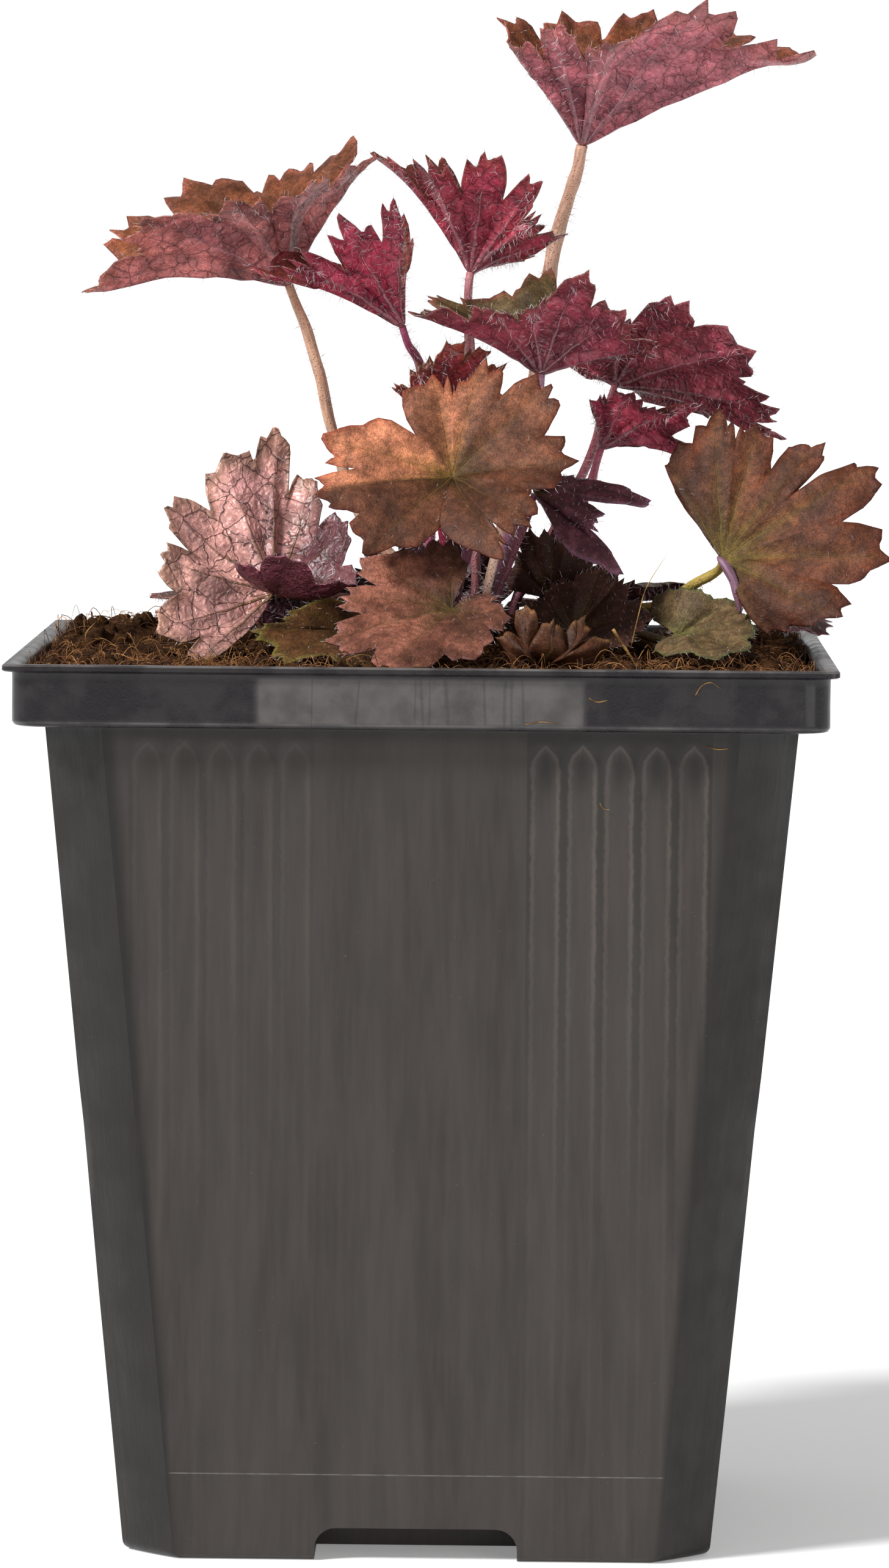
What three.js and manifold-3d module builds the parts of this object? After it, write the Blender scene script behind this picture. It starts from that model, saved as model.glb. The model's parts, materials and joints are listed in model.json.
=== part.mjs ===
// A young purple-leaved heuchera (coral bells) growing in a square 9 cm nursery pot.
// Millimetres, +Z up, +Y away from the front of the plant. The origin is under the middle
// of the pot, on the plane that it stands on.
import * as THREE from 'three';
import { mergeVertices } from 'three/addons/utils/BufferGeometryUtils.js';
import Module from 'manifold-3d';

const wasm = await Module();
wasm.setup();

// ---------------------------------------------------------------- driving dimensions
const CLEARANCE = 0.3; // between any two pieces that touch on the real plant

const POT = {
  height: 99,
  lipHalf: 45, // half the outer width across the lip
  lipThick: 0.8, // height of the lip's bead
  bandHalf: 44.1, // half the outer width of the rim band under the lip
  bandHeight: 6.8, // from the lip's top to the shoulder
  bodyTopHalf: 41, // half the outer width just under the shoulder
  bodyBaseHalf: 32.4,
  chamferTop: 6.5, // leg of the corner chamfer at the body's top
  chamferBase: 5.8,
  bandRound: 3, // corner radius of the rim band
  bandCorner: 0.8, // of the band inside: 0 straight, 1 round
  shoulderRound: 0.5, // how far the band pulls in at its lower edge
  shoulderSlope: 0.4, // height over which body and band meet
  lipFillet: 0.3, // height of the slope under the lip's bead
  ledgeSlope: 0.9, // height of the same step inside
  lipRound: 0.9,
  footRound: 1.2, // how far the walls pull in at the very bottom
  wall: 1,
  channelWidth: 22.3, // of the drainage channels that cross under the base
  channelHeight: 3.7,
  channelRound: 2.4,
  centreFootRadius: 7,
  drainRadius: 2.4,
  drainReaches: [13, 24], // of the drain holes in each channel, from the middle
  fluteWidth: 3.2,
  flutePitch: 4,
  fluteDepth: 0.35,
  fluteLength: 62,
  flutesPerSide: 5, // on each side of a face's plain middle
  fluteStart: 13.5, // from a face's middle to its innermost flute
  fluteDrop: 1.6, // from the shoulder to a flute's top
  fluteFoot: 0.35, // width of a flute at its lower end, as a share
};

const SOIL = {
  level: 97, // at the walls
  mound: 3.2, // extra height round the crown
  lump: 0.54, // height of its unevenness
  cells: 18, // of the surface grid, each way
  leafGap: 0.9, // under a leaf or stalk that lies on the soil
  crownGap: 0.5,
  restHeight: 9, // what lies lower than this over the level presses into the soil
  dipReach: 4.5, // of the dip round each point that presses
  dipFlat: 2.6, // radius of the dip's flat middle
  dipSlope: 0.4,
  heaps: [ // { x, y, height, and the spread in x and y }
    { x: -33, y: 10, height: 4, wide: 9, deep: 9 },
    { x: 37, y: 13, height: 2.4, wide: 8, deep: 12 },
  ],
  moundSpread: 17,
};

const CROWN = {
  x: 5,
  y: 0,
  top: 103,
  radius: 9.6,
  socketDepth: 2.6,
  socketGap: 0.5, // round a stalk's foot
  socketStep: 4,
  socketSides: 7,
  neck: 2, // how high a stalk stands up before it turns away
  splay: 0.12, // how far it leans outward there, as a share of its distance from the middle
  fall: 3.2, // from the middle of the crown's top to its edge
  sides: 16,
  profile: [[84, 0.35], [90, 0.7], [96, 0.95], [99, 1], [101, 0.9], [102.6, 0.55]],
};

const BLADE = {
  thickness: 0.7,
  notch: 0.14, // depth of the bay between two lobes, as a share of the lobe
  bay: 4, // power that keeps the bay narrow
  point: 0.08, // how much shorter a lobe is at its sides than along its vein
  teeth: 3, // per lobe, odd, so that one is the lobe's own tip
  tooth: 0.06, // depth between teeth, as a share of the lobe
  bow: 0.05, // how far the lobes arch over, as a share of their length
  puff: 0.05, // how far the surface swells between the veins
  fold: 0.05, // how far the bays are lifted at the margin
  ear: 0.4, // angle in radians of the half lobe beside the basal bay
  earLength: 0.62, // length of the basal edge, as a share of the first lobe
  look: 0.2, // how far to either side, in lobes, the normal is taken
  rings: [0.34, 0.68], // where the surface is divided between hub and margin
  sharpest: 0.6, // cosine between a bend's middle and its faces that still sets the offset
  sliver: 0.02, // splinters below this size are dropped
};

const STALK = {
  sides: 6,
  stepLength: 4.2,
  fewestSteps: 6,
  flare: 1.25, // radius at the foot, as a share of the stalk's own
  tip: 0.6, // radius under the blade
  seatSpare: 0.75, // reach of the blade's underside below its middle, in thicknesses
  near: 2.4, // the stretch below the blade that sets how the stalk leaves it
  leave: 0.6, // 0 leaves square to the blade, 1 straight towards the next point down
  lowestSeat: 2, // at most this far below the hub
  seatStep: 0.1,
  rimChecks: 8, // points of the upper end that are kept clear of the blade
  flareEnd: 0.12, // where the flare has run out, as a share of the length
  tipStart: 0.94,
};

// Each leaf: hub is where the veins meet over the stalk, tips are the lobes' tips in order
// counter-clockwise seen from the upper side, beginning at the basal bay, and stem holds the
// points that the stalk passes from the hub down. notch is the leaf's own depth of bay, cuts
// sets single bays by number, and taper hollows the flanks of single lobes.
const LEAVES = [
  {
    name: '01', // tallest, an open funnel leaning right
    hub: [17, 5, 155.5],
    tips: [[9, -1, 166.5], [14, -8, 169], [20, -11, 167], [30, -8, 171.5], [44.5, 2, 167],
      [34, 14, 169], [24.5, 18, 171], [15.5, 17, 170.5], [7.5, 10, 169.5]],
    stem: [[14, 7, 144], [11.5, 4, 126], [8.5, 0.5, 112]],
    root: [6.9, -1.1],
    stalk: 0.85,
    bow: 0.02,
    taper: { 4: 0.06 },
    blade: 0x7c4048,
    stalkColour: 0xb98a66,
  },
  {
    name: '02', // high on the left, a wide funnel
    hub: [-16, 2, 139.5],
    tips: [[-8.5, 12, 156], [-16, 18, 152.5], [-28.5, 17, 151.5], [-36.5, 10, 145.5],
      [-39.5, 1, 139], [-32.5, -7, 146.5], [-21.5, -13, 149], [-14.5, -11, 151],
      [-6.5, -1, 154]],
    stem: [[-14, 2, 134.5], [-12.5, 2, 129.5], [-11, 3, 123], [-7, 3, 112]],
    root: [0.8, 2.4],
    stalk: 0.65,
    blade: 0x84464f,
    stalkColour: 0xbd9068,
  },
  {
    name: '03', // small crimson leaf in front of the one before
    hub: [-3, -6, 135],
    tips: [[-2.5, -2, 147.5], [-9, -1, 145], [-20, -9, 142], [-15.5, -14, 143],
      [-10, -14, 147.5], [-3.5, -9, 149]],
    notch: 0.24,
    stem: [[-1, -2.5, 130.5], [0, 0, 120], [0.3, 0, 112]],
    root: [0.3, -0.8],
    stalk: 0.55,
    blade: 0x8c2f4b,
    stalkColour: 0xa3435f,
  },
  {
    name: '04', // red leaf in the middle
    hub: [4.5, 4, 141],
    tips: [[1.5, 10, 153.5], [-6.5, 2, 154.5], [-0.5, -4, 153.5], [6.5, -5, 155],
      [12.5, -4, 151.5], [12.5, -2, 147.5], [15.5, 1.5, 145.5], [10, 6, 142.5]],
    notch: 0.2,
    stem: [[4.5, 4, 133], [5, 3, 118]],
    root: [5.4, 2.2],
    stalk: 0.58,
    blade: 0x93404a,
    stalkColour: 0xb8727c,
  },
  {
    name: '05', // broad purple leaf above the middle
    hub: [12.5, -11, 130],
    tips: [[13.5, -4, 141.5], [4, -5, 138], [0, -8, 138.7], [-1.5, -13, 137],
      [6.5, -19, 137], [11.5, -20, 137.5], [17, -19, 141.5], [22, -16, 137],
      [25.5, -10, 132.5]],
    stem: [[11.5, -7, 121], [9.5, -6, 112.5]],
    root: [7.4, -4.2],
    stalk: 0.68,
    blade: 0x7a3346,
    stalkColour: 0xa8707a,
  },
  {
    name: '06', // purple leaf on the right, behind
    hub: [21, 3, 128.5],
    tips: [[16, 3, 130.5], [20.5, -4, 135.5], [27, -6, 138.5], [36.5, -4, 132.5],
      [39.5, 3, 125.5], [40, 9, 122], [32, 14, 125]],
    stem: [[19.8, 5, 125.5], [18.6, 6, 121], [14.5, 4, 112.5]],
    root: [9.5, 1.6],
    stalk: 0.52,
    blade: 0x7d3949,
    stalkColour: 0xa65560,
  },
  {
    name: '07', // small purple leaf below it
    hub: [19.5, -1, 121.5],
    tips: [[18.5, -4, 127], [22.5, -8, 128], [27.5, -9, 125.5], [30, -3, 126.5],
      [28.5, 2, 121], [24.5, 3, 125.5], [19.5, 1, 127]],
    stem: [[18.5, -1, 118], [16, -1, 112]],
    root: [9.6, -1.2],
    stalk: 0.5,
    blade: 0x7a2f45,
    stalkColour: 0xa04c5a,
  },
  {
    name: '08', // large dark leaf on the right, its face to the front
    hub: [33, -16, 109.5],
    tips: [[37.5, -22, 102], [45.5, -25, 103.5], [51, -22, 110.3], [50, -17, 120],
      [43.7, -13.5, 122.5], [37, -10, 124], [32, -8.5, 126], [26.5, -9, 121]],
    stem: [[29, -10.5, 106], [27.7, -8.5, 104.4], [22, -3.5, 103.4]],
    root: [12.5, 1.3],
    stalk: 0.6,
    blade: 0x58402f,
    stalkColour: 0x9a8a48,
    ear: 0.12,
    notch: 0.18,
    cuts: { 1: 0, 4: 0.36, 6: 0.04, 7: 0 },
  },
  {
    name: '09', // bronze leaf in the middle, its face to the front
    hub: [3, -17, 118.5],
    tips: [[8, -27, 109.5], [11.5, -26, 113.5], [16.5, -20, 120], [14, -15, 129],
      [6, -12.5, 131.5], [0.5, -12.5, 129.5], [-11.5, -17, 122.5], [-12.5, -20, 116.5],
      [-6.5, -24, 110]],
    stem: [[5, -10, 113]],
    root: [3.4, -4.5],
    stalk: 0.6,
    blade: 0x8a5038,
    stalkColour: 0x9c6a4a,
    ear: 0.6,
    earLength: 0.52,
    cuts: { 6: 0.4 },
  },
  {
    name: '10', // pink leaf on the left, its back to the front
    hub: [-17, -7, 105],
    tips: [[-25.5, -16, 97.8], [-30, -14, 101], [-30, -11, 109], [-29.5, -7, 114.5],
      [-23, -2, 120.5], [-17, 2, 123.5], [-13, 1, 117.5], [-9, -6, 113],
      [-7.5, -14, 106.5], [-15.5, -21, 110], [-21, -19, 108.5]],
    stem: [[-8, -1, 104]],
    leave: 1,
    ear: 0.2,
    notch: 0.17,
    cuts: { 2: 0.1, 5: 0.06 },
    root: [-2.6, 0],
    stalk: 0.6,
    blade: 0x9a6064,
    stalkColour: 0x9c6a5c,
  },
  {
    name: '11', // brown leaf bending over the soil in front
    hub: [3, -22, 104],
    tips: [[3, -18, 111.5], [-7, -20, 109.5], [-9, -24, 105.5], [-10.5, -31, 100.5],
      [-3.5, -37, 98], [6.5, -34, 99.5], [9.5, -28, 103], [7, -22, 106]],
    stem: [],
    root: [3, -7.3],
    stalk: 0.55,
    blade: 0x6e4440,
    stalkColour: 0x8a5a50,
  },
  {
    name: '12', // olive leaf under it, on the left
    hub: [-6.5, -14.5, 100.5],
    tips: [[-8, -13.5, 104], [-14.5, -18.5, 103.9], [-18.8, -22, 101.5], [-15, -27.5, 99],
      [-8, -28, 98.2]],
    notch: 0.04,
    stem: [],
    root: [-1.2, -4.4],
    stalk: 0.5,
    blade: 0x4e3a26,
    stalkColour: 0x7c5c44,
  },
  {
    name: '13', // grey-green leaf lying on the soil, right of the middle
    hub: [28, -14.5, 101],
    tips: [[27.5, -27, 99.4], [32, -30, 99.1], [35.8, -25.5, 99.9], [36.8, -20, 102],
      [34.7, -14.5, 104.9], [30.6, -14, 106.1], [25.5, -10, 105.2]],
    notch: 0.02,
    stem: [],
    root: [12.5, -1.3],
    stalk: 0.5,
    blade: 0x565040,
    stalkColour: 0x7a6a4a,
  },
  {
    name: '14', // dark leaf standing behind the middle
    hub: [14, -4, 104.5],
    tips: [[21, -4, 107.3], [17.6, -5, 110.3], [14.1, -5, 112.3], [10.9, -4.5, 112.4],
      [9.6, -3.5, 109]],
    notch: 0.03,
    ear: 0.6,
    earLength: 0.85,
    stem: [],
    root: [11.6, -3.8],
    stalk: 0.45,
    blade: 0x43261f,
    stalkColour: 0x6e3a34,
  },
  {
    name: '15', // dark leaf low in the middle
    hub: [16.5, -12, 101],
    tips: [[15.5, -22, 98.9], [22.5, -19, 100], [25, -13.2, 103.3], [22, -8.2, 106.9],
      [19.6, -8, 108.3], [14, -9.5, 106.5], [11.3, -10.5, 104.5]],
    notch: 0.1,
    stem: [],
    root: [9.9, -5.8],
    stalk: 0.5,
    blade: 0x46281f,
    stalkColour: 0x70403a,
  },
  {
    name: '16', // folded purple leaf right of the bronze one
    hub: [12, -9, 116.5],
    tips: [[21.5, -18, 108], [19, -13, 113.5], [25.5, -6, 116], [17.5, -5, 118],
      [13, -6, 119]],
    cuts: { 2: 0.7 },
    stem: [],
    root: [7, -7.3],
    stalk: 0.5,
    blade: 0x5a2c33,
    stalkColour: 0x8a4450,
  },
  {
    name: '17', // young red leaf opening behind the bronze one
    hub: [0.5, -6, 123.5],
    tips: [[8.5, -3.5, 130.5], [4.5, -2.5, 132], [-1, -4.5, 131], [-4, -7, 128],
      [-1, -10, 130.5], [2.5, -10, 133.5], [7, -8, 132.5]],
    stem: [],
    root: [2.9, -0.8],
    stalk: 0.5,
    blade: 0x84222e,
    stalkColour: 0xa0344a,
  },
  {
    name: '18', // leaf low on the left, behind the pink one
    hub: [-22.5, 16, 102],
    tips: [[-19, 28, 103.5], [-25.5, 30, 104], [-31, 24, 103.5], [-32, 13, 103.5],
      [-28, 8, 103]],
    stem: [],
    root: [-0.8, 4.9],
    stalk: 0.5,
    blade: 0x4c2428,
    stalkColour: 0x74403c,
  },
  {
    name: '19', // leaf low on the right, behind the dark one
    hub: [37.5, 4, 103],
    tips: [[40.5, -9, 101], [44.5, -4, 101], [44.5, 10, 102], [41.5, 18, 101.5]],
    stem: [],
    root: [11.2, 4.4],
    stalk: 0.5,
    blade: 0x4c2428,
    stalkColour: 0x74403c,
  },
  {
    name: '20', // leaf at the back of the plant
    hub: [5, 15, 115],
    tips: [[9, 9, 119.5], [14.5, 13, 121.5], [15, 21, 120.5], [11, 27, 118.5],
      [4.5, 29.5, 117.5], [-2, 26, 118.5], [-6, 18, 121], [-1.5, 9.5, 120]],
    stem: [[5, 10.5, 108]],
    root: [5, 4.8],
    stalk: 0.55,
    blade: 0x6c3a34,
    stalkColour: 0x8c5a4c,
  },
  {
    name: '21', // leaf lying low at the back, on the right
    hub: [20, 17, 103.5],
    tips: [[19, 8.5, 105], [26, 8.5, 105.5], [31, 14, 105], [31.5, 21, 103.5],
      [27.5, 27, 102.5], [21, 29, 102], [14, 27, 102.5], [10, 21, 104.5],
      [12.5, 14, 105.5]],
    stem: [],
    root: [8.8, 6.6],
    stalk: 0.5,
    blade: 0x4e3c28,
    stalkColour: 0x78503c,
  },
];

const vec = (p) => new THREE.Vector3(...p);

// ---------------------------------------------------------------- meshes and solids
// A closed mesh from points and index triples.
function meshOf(points, triangles) {
  const geometry = new THREE.BufferGeometry();
  const flat = points.flatMap((p) => [p.x, p.y, p.z]);
  geometry.setAttribute('position', new THREE.Float32BufferAttribute(flat, 3));
  geometry.setIndex(triangles.flat());
  return geometry;
}

// Loops of equal length, lowest first and counter-clockwise seen from above, skinned into
// a closed solid whose ends are fans.
function loft(loops) {
  const n = loops[0].length;
  const points = loops.flat();
  const triangles = [];
  for (let k = 0; k + 1 < loops.length; k += 1) {
    for (let i = 0; i < n; i += 1) {
      const a = k * n + i;
      const b = k * n + ((i + 1) % n);
      triangles.push([a, b, b + n], [a, b + n, a + n]);
    }
  }
  const ends = [[loops[0], 0, true], [loops.at(-1), points.length - n, false]];
  for (const [loop, first, down] of ends) {
    const centre = loop.reduce((sum, p) => sum.add(p), new THREE.Vector3()).divideScalar(n);
    const hub = points.push(centre) - 1;
    for (let i = 0; i < n; i += 1) {
      const a = first + i;
      const b = first + ((i + 1) % n);
      triangles.push(down ? [hub, b, a] : [hub, a, b]);
    }
  }
  return meshOf(points, triangles);
}

function solidOf(geometry) {
  const bare = geometry.clone();
  bare.deleteAttribute('normal');
  bare.deleteAttribute('uv');
  const merged = mergeVertices(bare);
  return new wasm.Manifold(new wasm.Mesh({
    numProp: 3,
    vertProperties: new Float32Array(merged.attributes.position.array),
    triVerts: new Uint32Array(merged.index.array),
  }));
}

function geometryOf(solid) {
  const mesh = solid.getMesh();
  const geometry = new THREE.BufferGeometry();
  geometry.setAttribute('position', new THREE.Float32BufferAttribute(mesh.vertProperties, 3));
  geometry.setIndex(new THREE.BufferAttribute(mesh.triVerts, 1));
  return geometry;
}

// ---------------------------------------------------------------- the pot
const CORNER_STEPS = 3;
const ROUND = 1; // bulge of a corner that is a full arc
const STRAIGHT = 0;

// A square of half width `half` at height z, its corners cut by a leg of `cut` and drawn
// round by `bulge`: 0 gives a straight chamfer and 1 a full arc.
function squareLoop(half, cut, z, bulge) {
  const loop = [];
  for (let corner = 0; corner < 4; corner += 1) {
    for (let i = 0; i <= CORNER_STEPS; i += 1) {
      const t = i / CORNER_STEPS;
      const angle = t * Math.PI / 2;
      const chamfer = [half - cut * t, half - cut * (1 - t)];
      const arc = [half - cut * (1 - Math.cos(angle)), half - cut * (1 - Math.sin(angle))];
      const x = THREE.MathUtils.lerp(chamfer[0], arc[0], bulge);
      const y = THREE.MathUtils.lerp(chamfer[1], arc[1], bulge);
      const turn = new THREE.Vector3(x, y, 0);
      turn.applyAxisAngle(new THREE.Vector3(0, 0, 1), corner * Math.PI / 2);
      loop.push(turn.setZ(z));
    }
  }
  return loop;
}

const SHOULDER = POT.height - POT.bandHeight;

// Half width and chamfer of the tapering body at height z.
function bodyAt(z) {
  const t = z / SHOULDER;
  return [
    THREE.MathUtils.lerp(POT.bodyBaseHalf, POT.bodyTopHalf, t),
    THREE.MathUtils.lerp(POT.chamferBase, POT.chamferTop, t),
  ];
}

// The space inside the pot, from its floor to `top`, smaller by `inset` all round.
function potCavity(inset, top) {
  const floor = POT.wall + inset;
  const shrink = POT.wall + inset;
  const ledge = SHOULDER + POT.wall + POT.shoulderSlope + inset;
  const [lowHalf, lowCut] = bodyAt(floor);
  const [highHalf, highCut] = bodyAt(ledge);
  return loft([
    squareLoop(lowHalf - shrink, lowCut, floor, STRAIGHT),
    squareLoop(highHalf - shrink, highCut, ledge, STRAIGHT),
    squareLoop(POT.bandHalf - shrink, POT.bandRound, ledge + POT.ledgeSlope, POT.bandCorner),
    squareLoop(POT.bandHalf - shrink, POT.bandRound, top, POT.bandCorner),
  ]);
}

// The two drainage channels that cross under the base, round their inner edges, and the
// foot that is left where they meet. `grow` makes the same shape thicker.
function channels(grow) {
  const half = POT.channelWidth / 2 + grow;
  const height = POT.channelHeight + grow;
  const round = POT.channelRound;
  const section = new THREE.Shape();
  section.moveTo(-half, -1);
  section.lineTo(half, -1);
  section.lineTo(half, height - round);
  section.absarc(half - round, height - round, round, 0, Math.PI / 2, false);
  section.lineTo(-half + round, height);
  section.absarc(-half + round, height - round, round, Math.PI / 2, Math.PI, false);
  section.closePath();
  const reach = POT.lipHalf;
  const bar = new THREE.ExtrudeGeometry(section, {
    depth: 2 * reach,
    bevelEnabled: false,
    curveSegments: 3,
  });
  bar.translate(0, 0, -reach).rotateX(Math.PI / 2);
  const along = solidOf(bar);
  const across = solidOf(bar.clone().rotateZ(Math.PI / 2));
  const footHeight = 2 * height;
  const foot = new THREE.CylinderGeometry(
    POT.centreFootRadius - grow, POT.centreFootRadius - grow, footHeight, 16);
  foot.rotateX(Math.PI / 2);
  return along.add(across).subtract(solidOf(foot));
}

// One shallow upright flute with a round top, as a cutter lying on a wall that faces -Y.
function fluteCutter() {
  const half = POT.fluteWidth / 2;
  const outline = new THREE.Shape();
  outline.moveTo(-half * POT.fluteFoot, -POT.fluteLength);
  outline.lineTo(half * POT.fluteFoot, -POT.fluteLength);
  outline.lineTo(half, -half);
  outline.absarc(0, -half, half, 0, Math.PI, false);
  outline.closePath();
  const cutter = new THREE.ExtrudeGeometry(outline, {
    depth: 2 * POT.fluteDepth,
    bevelEnabled: false,
    curveSegments: 2,
  });
  return cutter.rotateX(Math.PI / 2).translate(0, POT.fluteDepth, 0);
}

function flutes() {
  const lean = Math.atan2(POT.bodyTopHalf - POT.bodyBaseHalf, SHOULDER);
  const top = SHOULDER - POT.fluteDrop;
  const runOut = Math.atan2(POT.fluteDepth, POT.fluteLength);
  const cutter = fluteCutter().rotateX(lean - runOut);
  const [wallAtTop] = bodyAt(top);
  const cuts = [];
  for (let face = 0; face < 4; face += 1) {
    for (const side of [-1, 1]) {
      for (let i = 0; i < POT.flutesPerSide; i += 1) {
        const x = side * (POT.fluteStart + i * POT.flutePitch);
        const cut = cutter.clone().translate(x, -wallAtTop, top);
        cuts.push(solidOf(cut.rotateZ(face * Math.PI / 2)));
      }
    }
  }
  return wasm.Manifold.union(cuts);
}

function drainHoles() {
  const depth = 3 * POT.channelHeight;
  const hole = new THREE.CylinderGeometry(POT.drainRadius, POT.drainRadius, depth, 10);
  hole.rotateX(Math.PI / 2);
  const holes = [];
  for (let arm = 0; arm < 4; arm += 1) {
    for (const reach of POT.drainReaches) {
      holes.push(solidOf(hole.clone().translate(reach, 0, 0).rotateZ(arm * Math.PI / 2)));
    }
  }
  return wasm.Manifold.union(holes);
}

function potGeometry() {
  const [baseHalf, baseCut] = bodyAt(POT.footRound);
  const lipUnder = POT.height - POT.lipThick;
  const outer = loft([
    squareLoop(baseHalf - POT.footRound, baseCut, 0, STRAIGHT),
    squareLoop(baseHalf, baseCut, POT.footRound, STRAIGHT),
    squareLoop(POT.bodyTopHalf, POT.chamferTop, SHOULDER - POT.shoulderSlope, STRAIGHT),
    squareLoop(POT.bandHalf - POT.shoulderRound, POT.bandRound, SHOULDER, ROUND),
    squareLoop(POT.bandHalf, POT.bandRound, SHOULDER + POT.shoulderRound, ROUND),
    squareLoop(POT.bandHalf, POT.bandRound, lipUnder - POT.lipFillet, ROUND),
    squareLoop(POT.lipHalf, POT.lipRound, lipUnder, ROUND),
    squareLoop(POT.lipHalf, POT.lipRound, POT.height, ROUND),
  ]);
  const hollow = solidOf(potCavity(0, POT.height + 1)).subtract(channels(POT.wall));
  const cuts = [channels(0), hollow, drainHoles(), flutes()];
  return geometryOf(cuts.reduce((body, cut) => body.subtract(cut), solidOf(outer)));
}

// ---------------------------------------------------------------- leaf blades
// Unit vector out of the blade's upper side at the hub.
function bladeAxis(leaf) {
  const hub = vec(leaf.hub);
  const axis = new THREE.Vector3();
  const arms = leaf.tips.map((tip) => vec(tip).sub(hub).normalize());
  for (let i = 0; i + 1 < arms.length; i += 1) axis.add(arms[i].clone().cross(arms[i + 1]));
  return axis.normalize();
}

// The veins' directions and lengths from the hub, with the two basal edges at the ends:
// knots at u = 0, 0.5, 1.5 ... n - 0.5, n, where lobe k covers u from k to k + 1.
function knotsOf(leaf) {
  const hub = vec(leaf.hub);
  const veins = leaf.tips.map((tip) => {
    const arm = vec(tip).sub(hub);
    return { length: arm.length(), way: arm.clone().normalize() };
  });
  const ear = leaf.ear ?? BLADE.ear;
  const axis = bladeAxis(leaf);
  const edge = (end, turn) => ({
    length: end.length * (leaf.earLength ?? BLADE.earLength),
    way: end.way.clone().applyAxisAngle(axis, turn),
  });
  const n = veins.length;
  return [
    { u: 0, ...edge(veins[0], -ear) },
    ...veins.map((vein, k) => ({ u: k + 0.5, ...vein })),
    { u: n, ...edge(veins[n - 1], ear) },
  ];
}

function spline(a, b, c, d, t) {
  return b + 0.5 * t * (c - a + t * (2 * a - 5 * b + 4 * c - d + t * (3 * (b - c) + d - a)));
}

// Direction and length of the blade's ray at u, smooth through the knots.
function rayAt(knots, u) {
  let i = knots.findIndex((knot) => knot.u > u) - 1;
  if (i < 0) i = knots.length - 2;
  const at = (k) => knots[THREE.MathUtils.clamp(k, 0, knots.length - 1)];
  const four = [at(i - 1), at(i), at(i + 1), at(i + 2)];
  const t = (u - at(i).u) / (at(i + 1).u - at(i).u);
  const mix = (pick) => spline(...four.map(pick), t);
  const way = new THREE.Vector3(
    mix((k) => k.way.x), mix((k) => k.way.y), mix((k) => k.way.z)).normalize();
  return { way, length: mix((k) => k.length) };
}

const END = 1e-6; // keeps u short of the last knot

// The upper side's normal of the cone of rays at u.
function coneNormal(knots, u) {
  const last = knots.at(-1).u;
  const before = rayAt(knots, Math.max(u - BLADE.look, 0)).way;
  const after = rayAt(knots, Math.min(u + BLADE.look, last - END)).way;
  return before.cross(after).normalize();
}

// A point of the blade's middle surface: u runs round the lobes and s from hub to margin.
function bladePoint(leaf, knots, u, s) {
  const n = knots.at(-1).u;
  const { way, length } = rayAt(knots, Math.min(u, n - END));
  const normal = coneNormal(knots, u);
  const offVein = 2 * Math.abs(u - Math.min(Math.floor(u), n - 1) - 0.5);
  const bay = Math.round(u);
  const notch = leaf.cuts?.[bay] ?? leaf.notch ?? BLADE.notch;
  const taper = leaf.taper?.[Math.floor(u)] ?? 0;
  const swing = BLADE.teeth * (u - 0.5);
  const betweenTeeth = 2 * Math.abs(swing - Math.round(swing));
  const atMargin = s === 1 ? 1 : 0;
  const inner = bay > 0 && bay < n ? 1 : 0;
  const lost = inner * notch * offVein ** BLADE.bay + BLADE.point * offVein
    + taper * 4 * offVein * (1 - offVein);
  const reach = length * s * (1 - lost)
    - atMargin * length * BLADE.tooth * betweenTeeth;
  const arch = (leaf.bow ?? BLADE.bow) * 4 * s * (1 - s);
  const swell = BLADE.puff * offVein ** 2 * 4 * s * s * (1 - s);
  const lift = BLADE.fold * offVein ** 2 * s * s;
  return vec(leaf.hub)
    .addScaledVector(way, reach)
    .addScaledVector(normal, length * (arch + swell + lift));
}

// Joins two open rows of points, each given with its u, by triangles.
function stitch(rowA, rowB, triangles) {
  let i = 0;
  let j = 0;
  while (i < rowA.length - 1 || j < rowB.length - 1) {
    const nextA = i < rowA.length - 1 ? rowA[i + 1].u : Infinity;
    const nextB = j < rowB.length - 1 ? rowB[j + 1].u : Infinity;
    if (nextA < nextB) {
      triangles.push([rowA[i].id, rowB[j].id, rowA[i + 1].id]);
      i += 1;
    } else {
      triangles.push([rowA[i].id, rowB[j].id, rowB[j + 1].id]);
      j += 1;
    }
  }
}

// The blade's middle surface as points and triangles.
function bladeSheet(leaf) {
  const knots = knotsOf(leaf);
  const n = leaf.tips.length;
  const points = [vec(leaf.hub)];
  const [inner, outer] = BLADE.rings;
  const rings = [[inner, 2 * n], [outer, 4 * n], [1, 2 * BLADE.teeth * n]].map(([s, parts]) => {
    const ring = [];
    for (let i = 0; i <= parts; i += 1) {
      const u = n * i / parts;
      ring.push({ u, id: points.push(bladePoint(leaf, knots, u, s)) - 1 });
    }
    return ring;
  });
  const triangles = [];
  for (let i = 0; i + 1 < rings[0].length; i += 1) {
    triangles.push([0, rings[0][i].id, rings[0][i + 1].id]);
  }
  stitch(rings[0], rings[1], triangles);
  stitch(rings[1], rings[2], triangles);
  return { points, triangles };
}

// How far each point moves when the sheet's faces all move out by one, which is further where
// the sheet is bent, as at the bottom of a funnel.
function offsets(points, triangles) {
  const around = points.map(() => []);
  for (const [a, b, c] of triangles) {
    const ab = points[b].clone().sub(points[a]);
    const face = ab.cross(points[c].clone().sub(points[a])).normalize();
    for (const id of [a, b, c]) around[id].push(face);
  }
  return around.map((normals) => {
    const way = new THREE.Vector3();
    for (const normal of normals) way.add(normal);
    way.normalize();
    const facing = normals.reduce((total, normal) => total + normal.dot(way), 0);
    return way.divideScalar(Math.max(facing / normals.length, BLADE.sharpest));
  });
}

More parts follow.
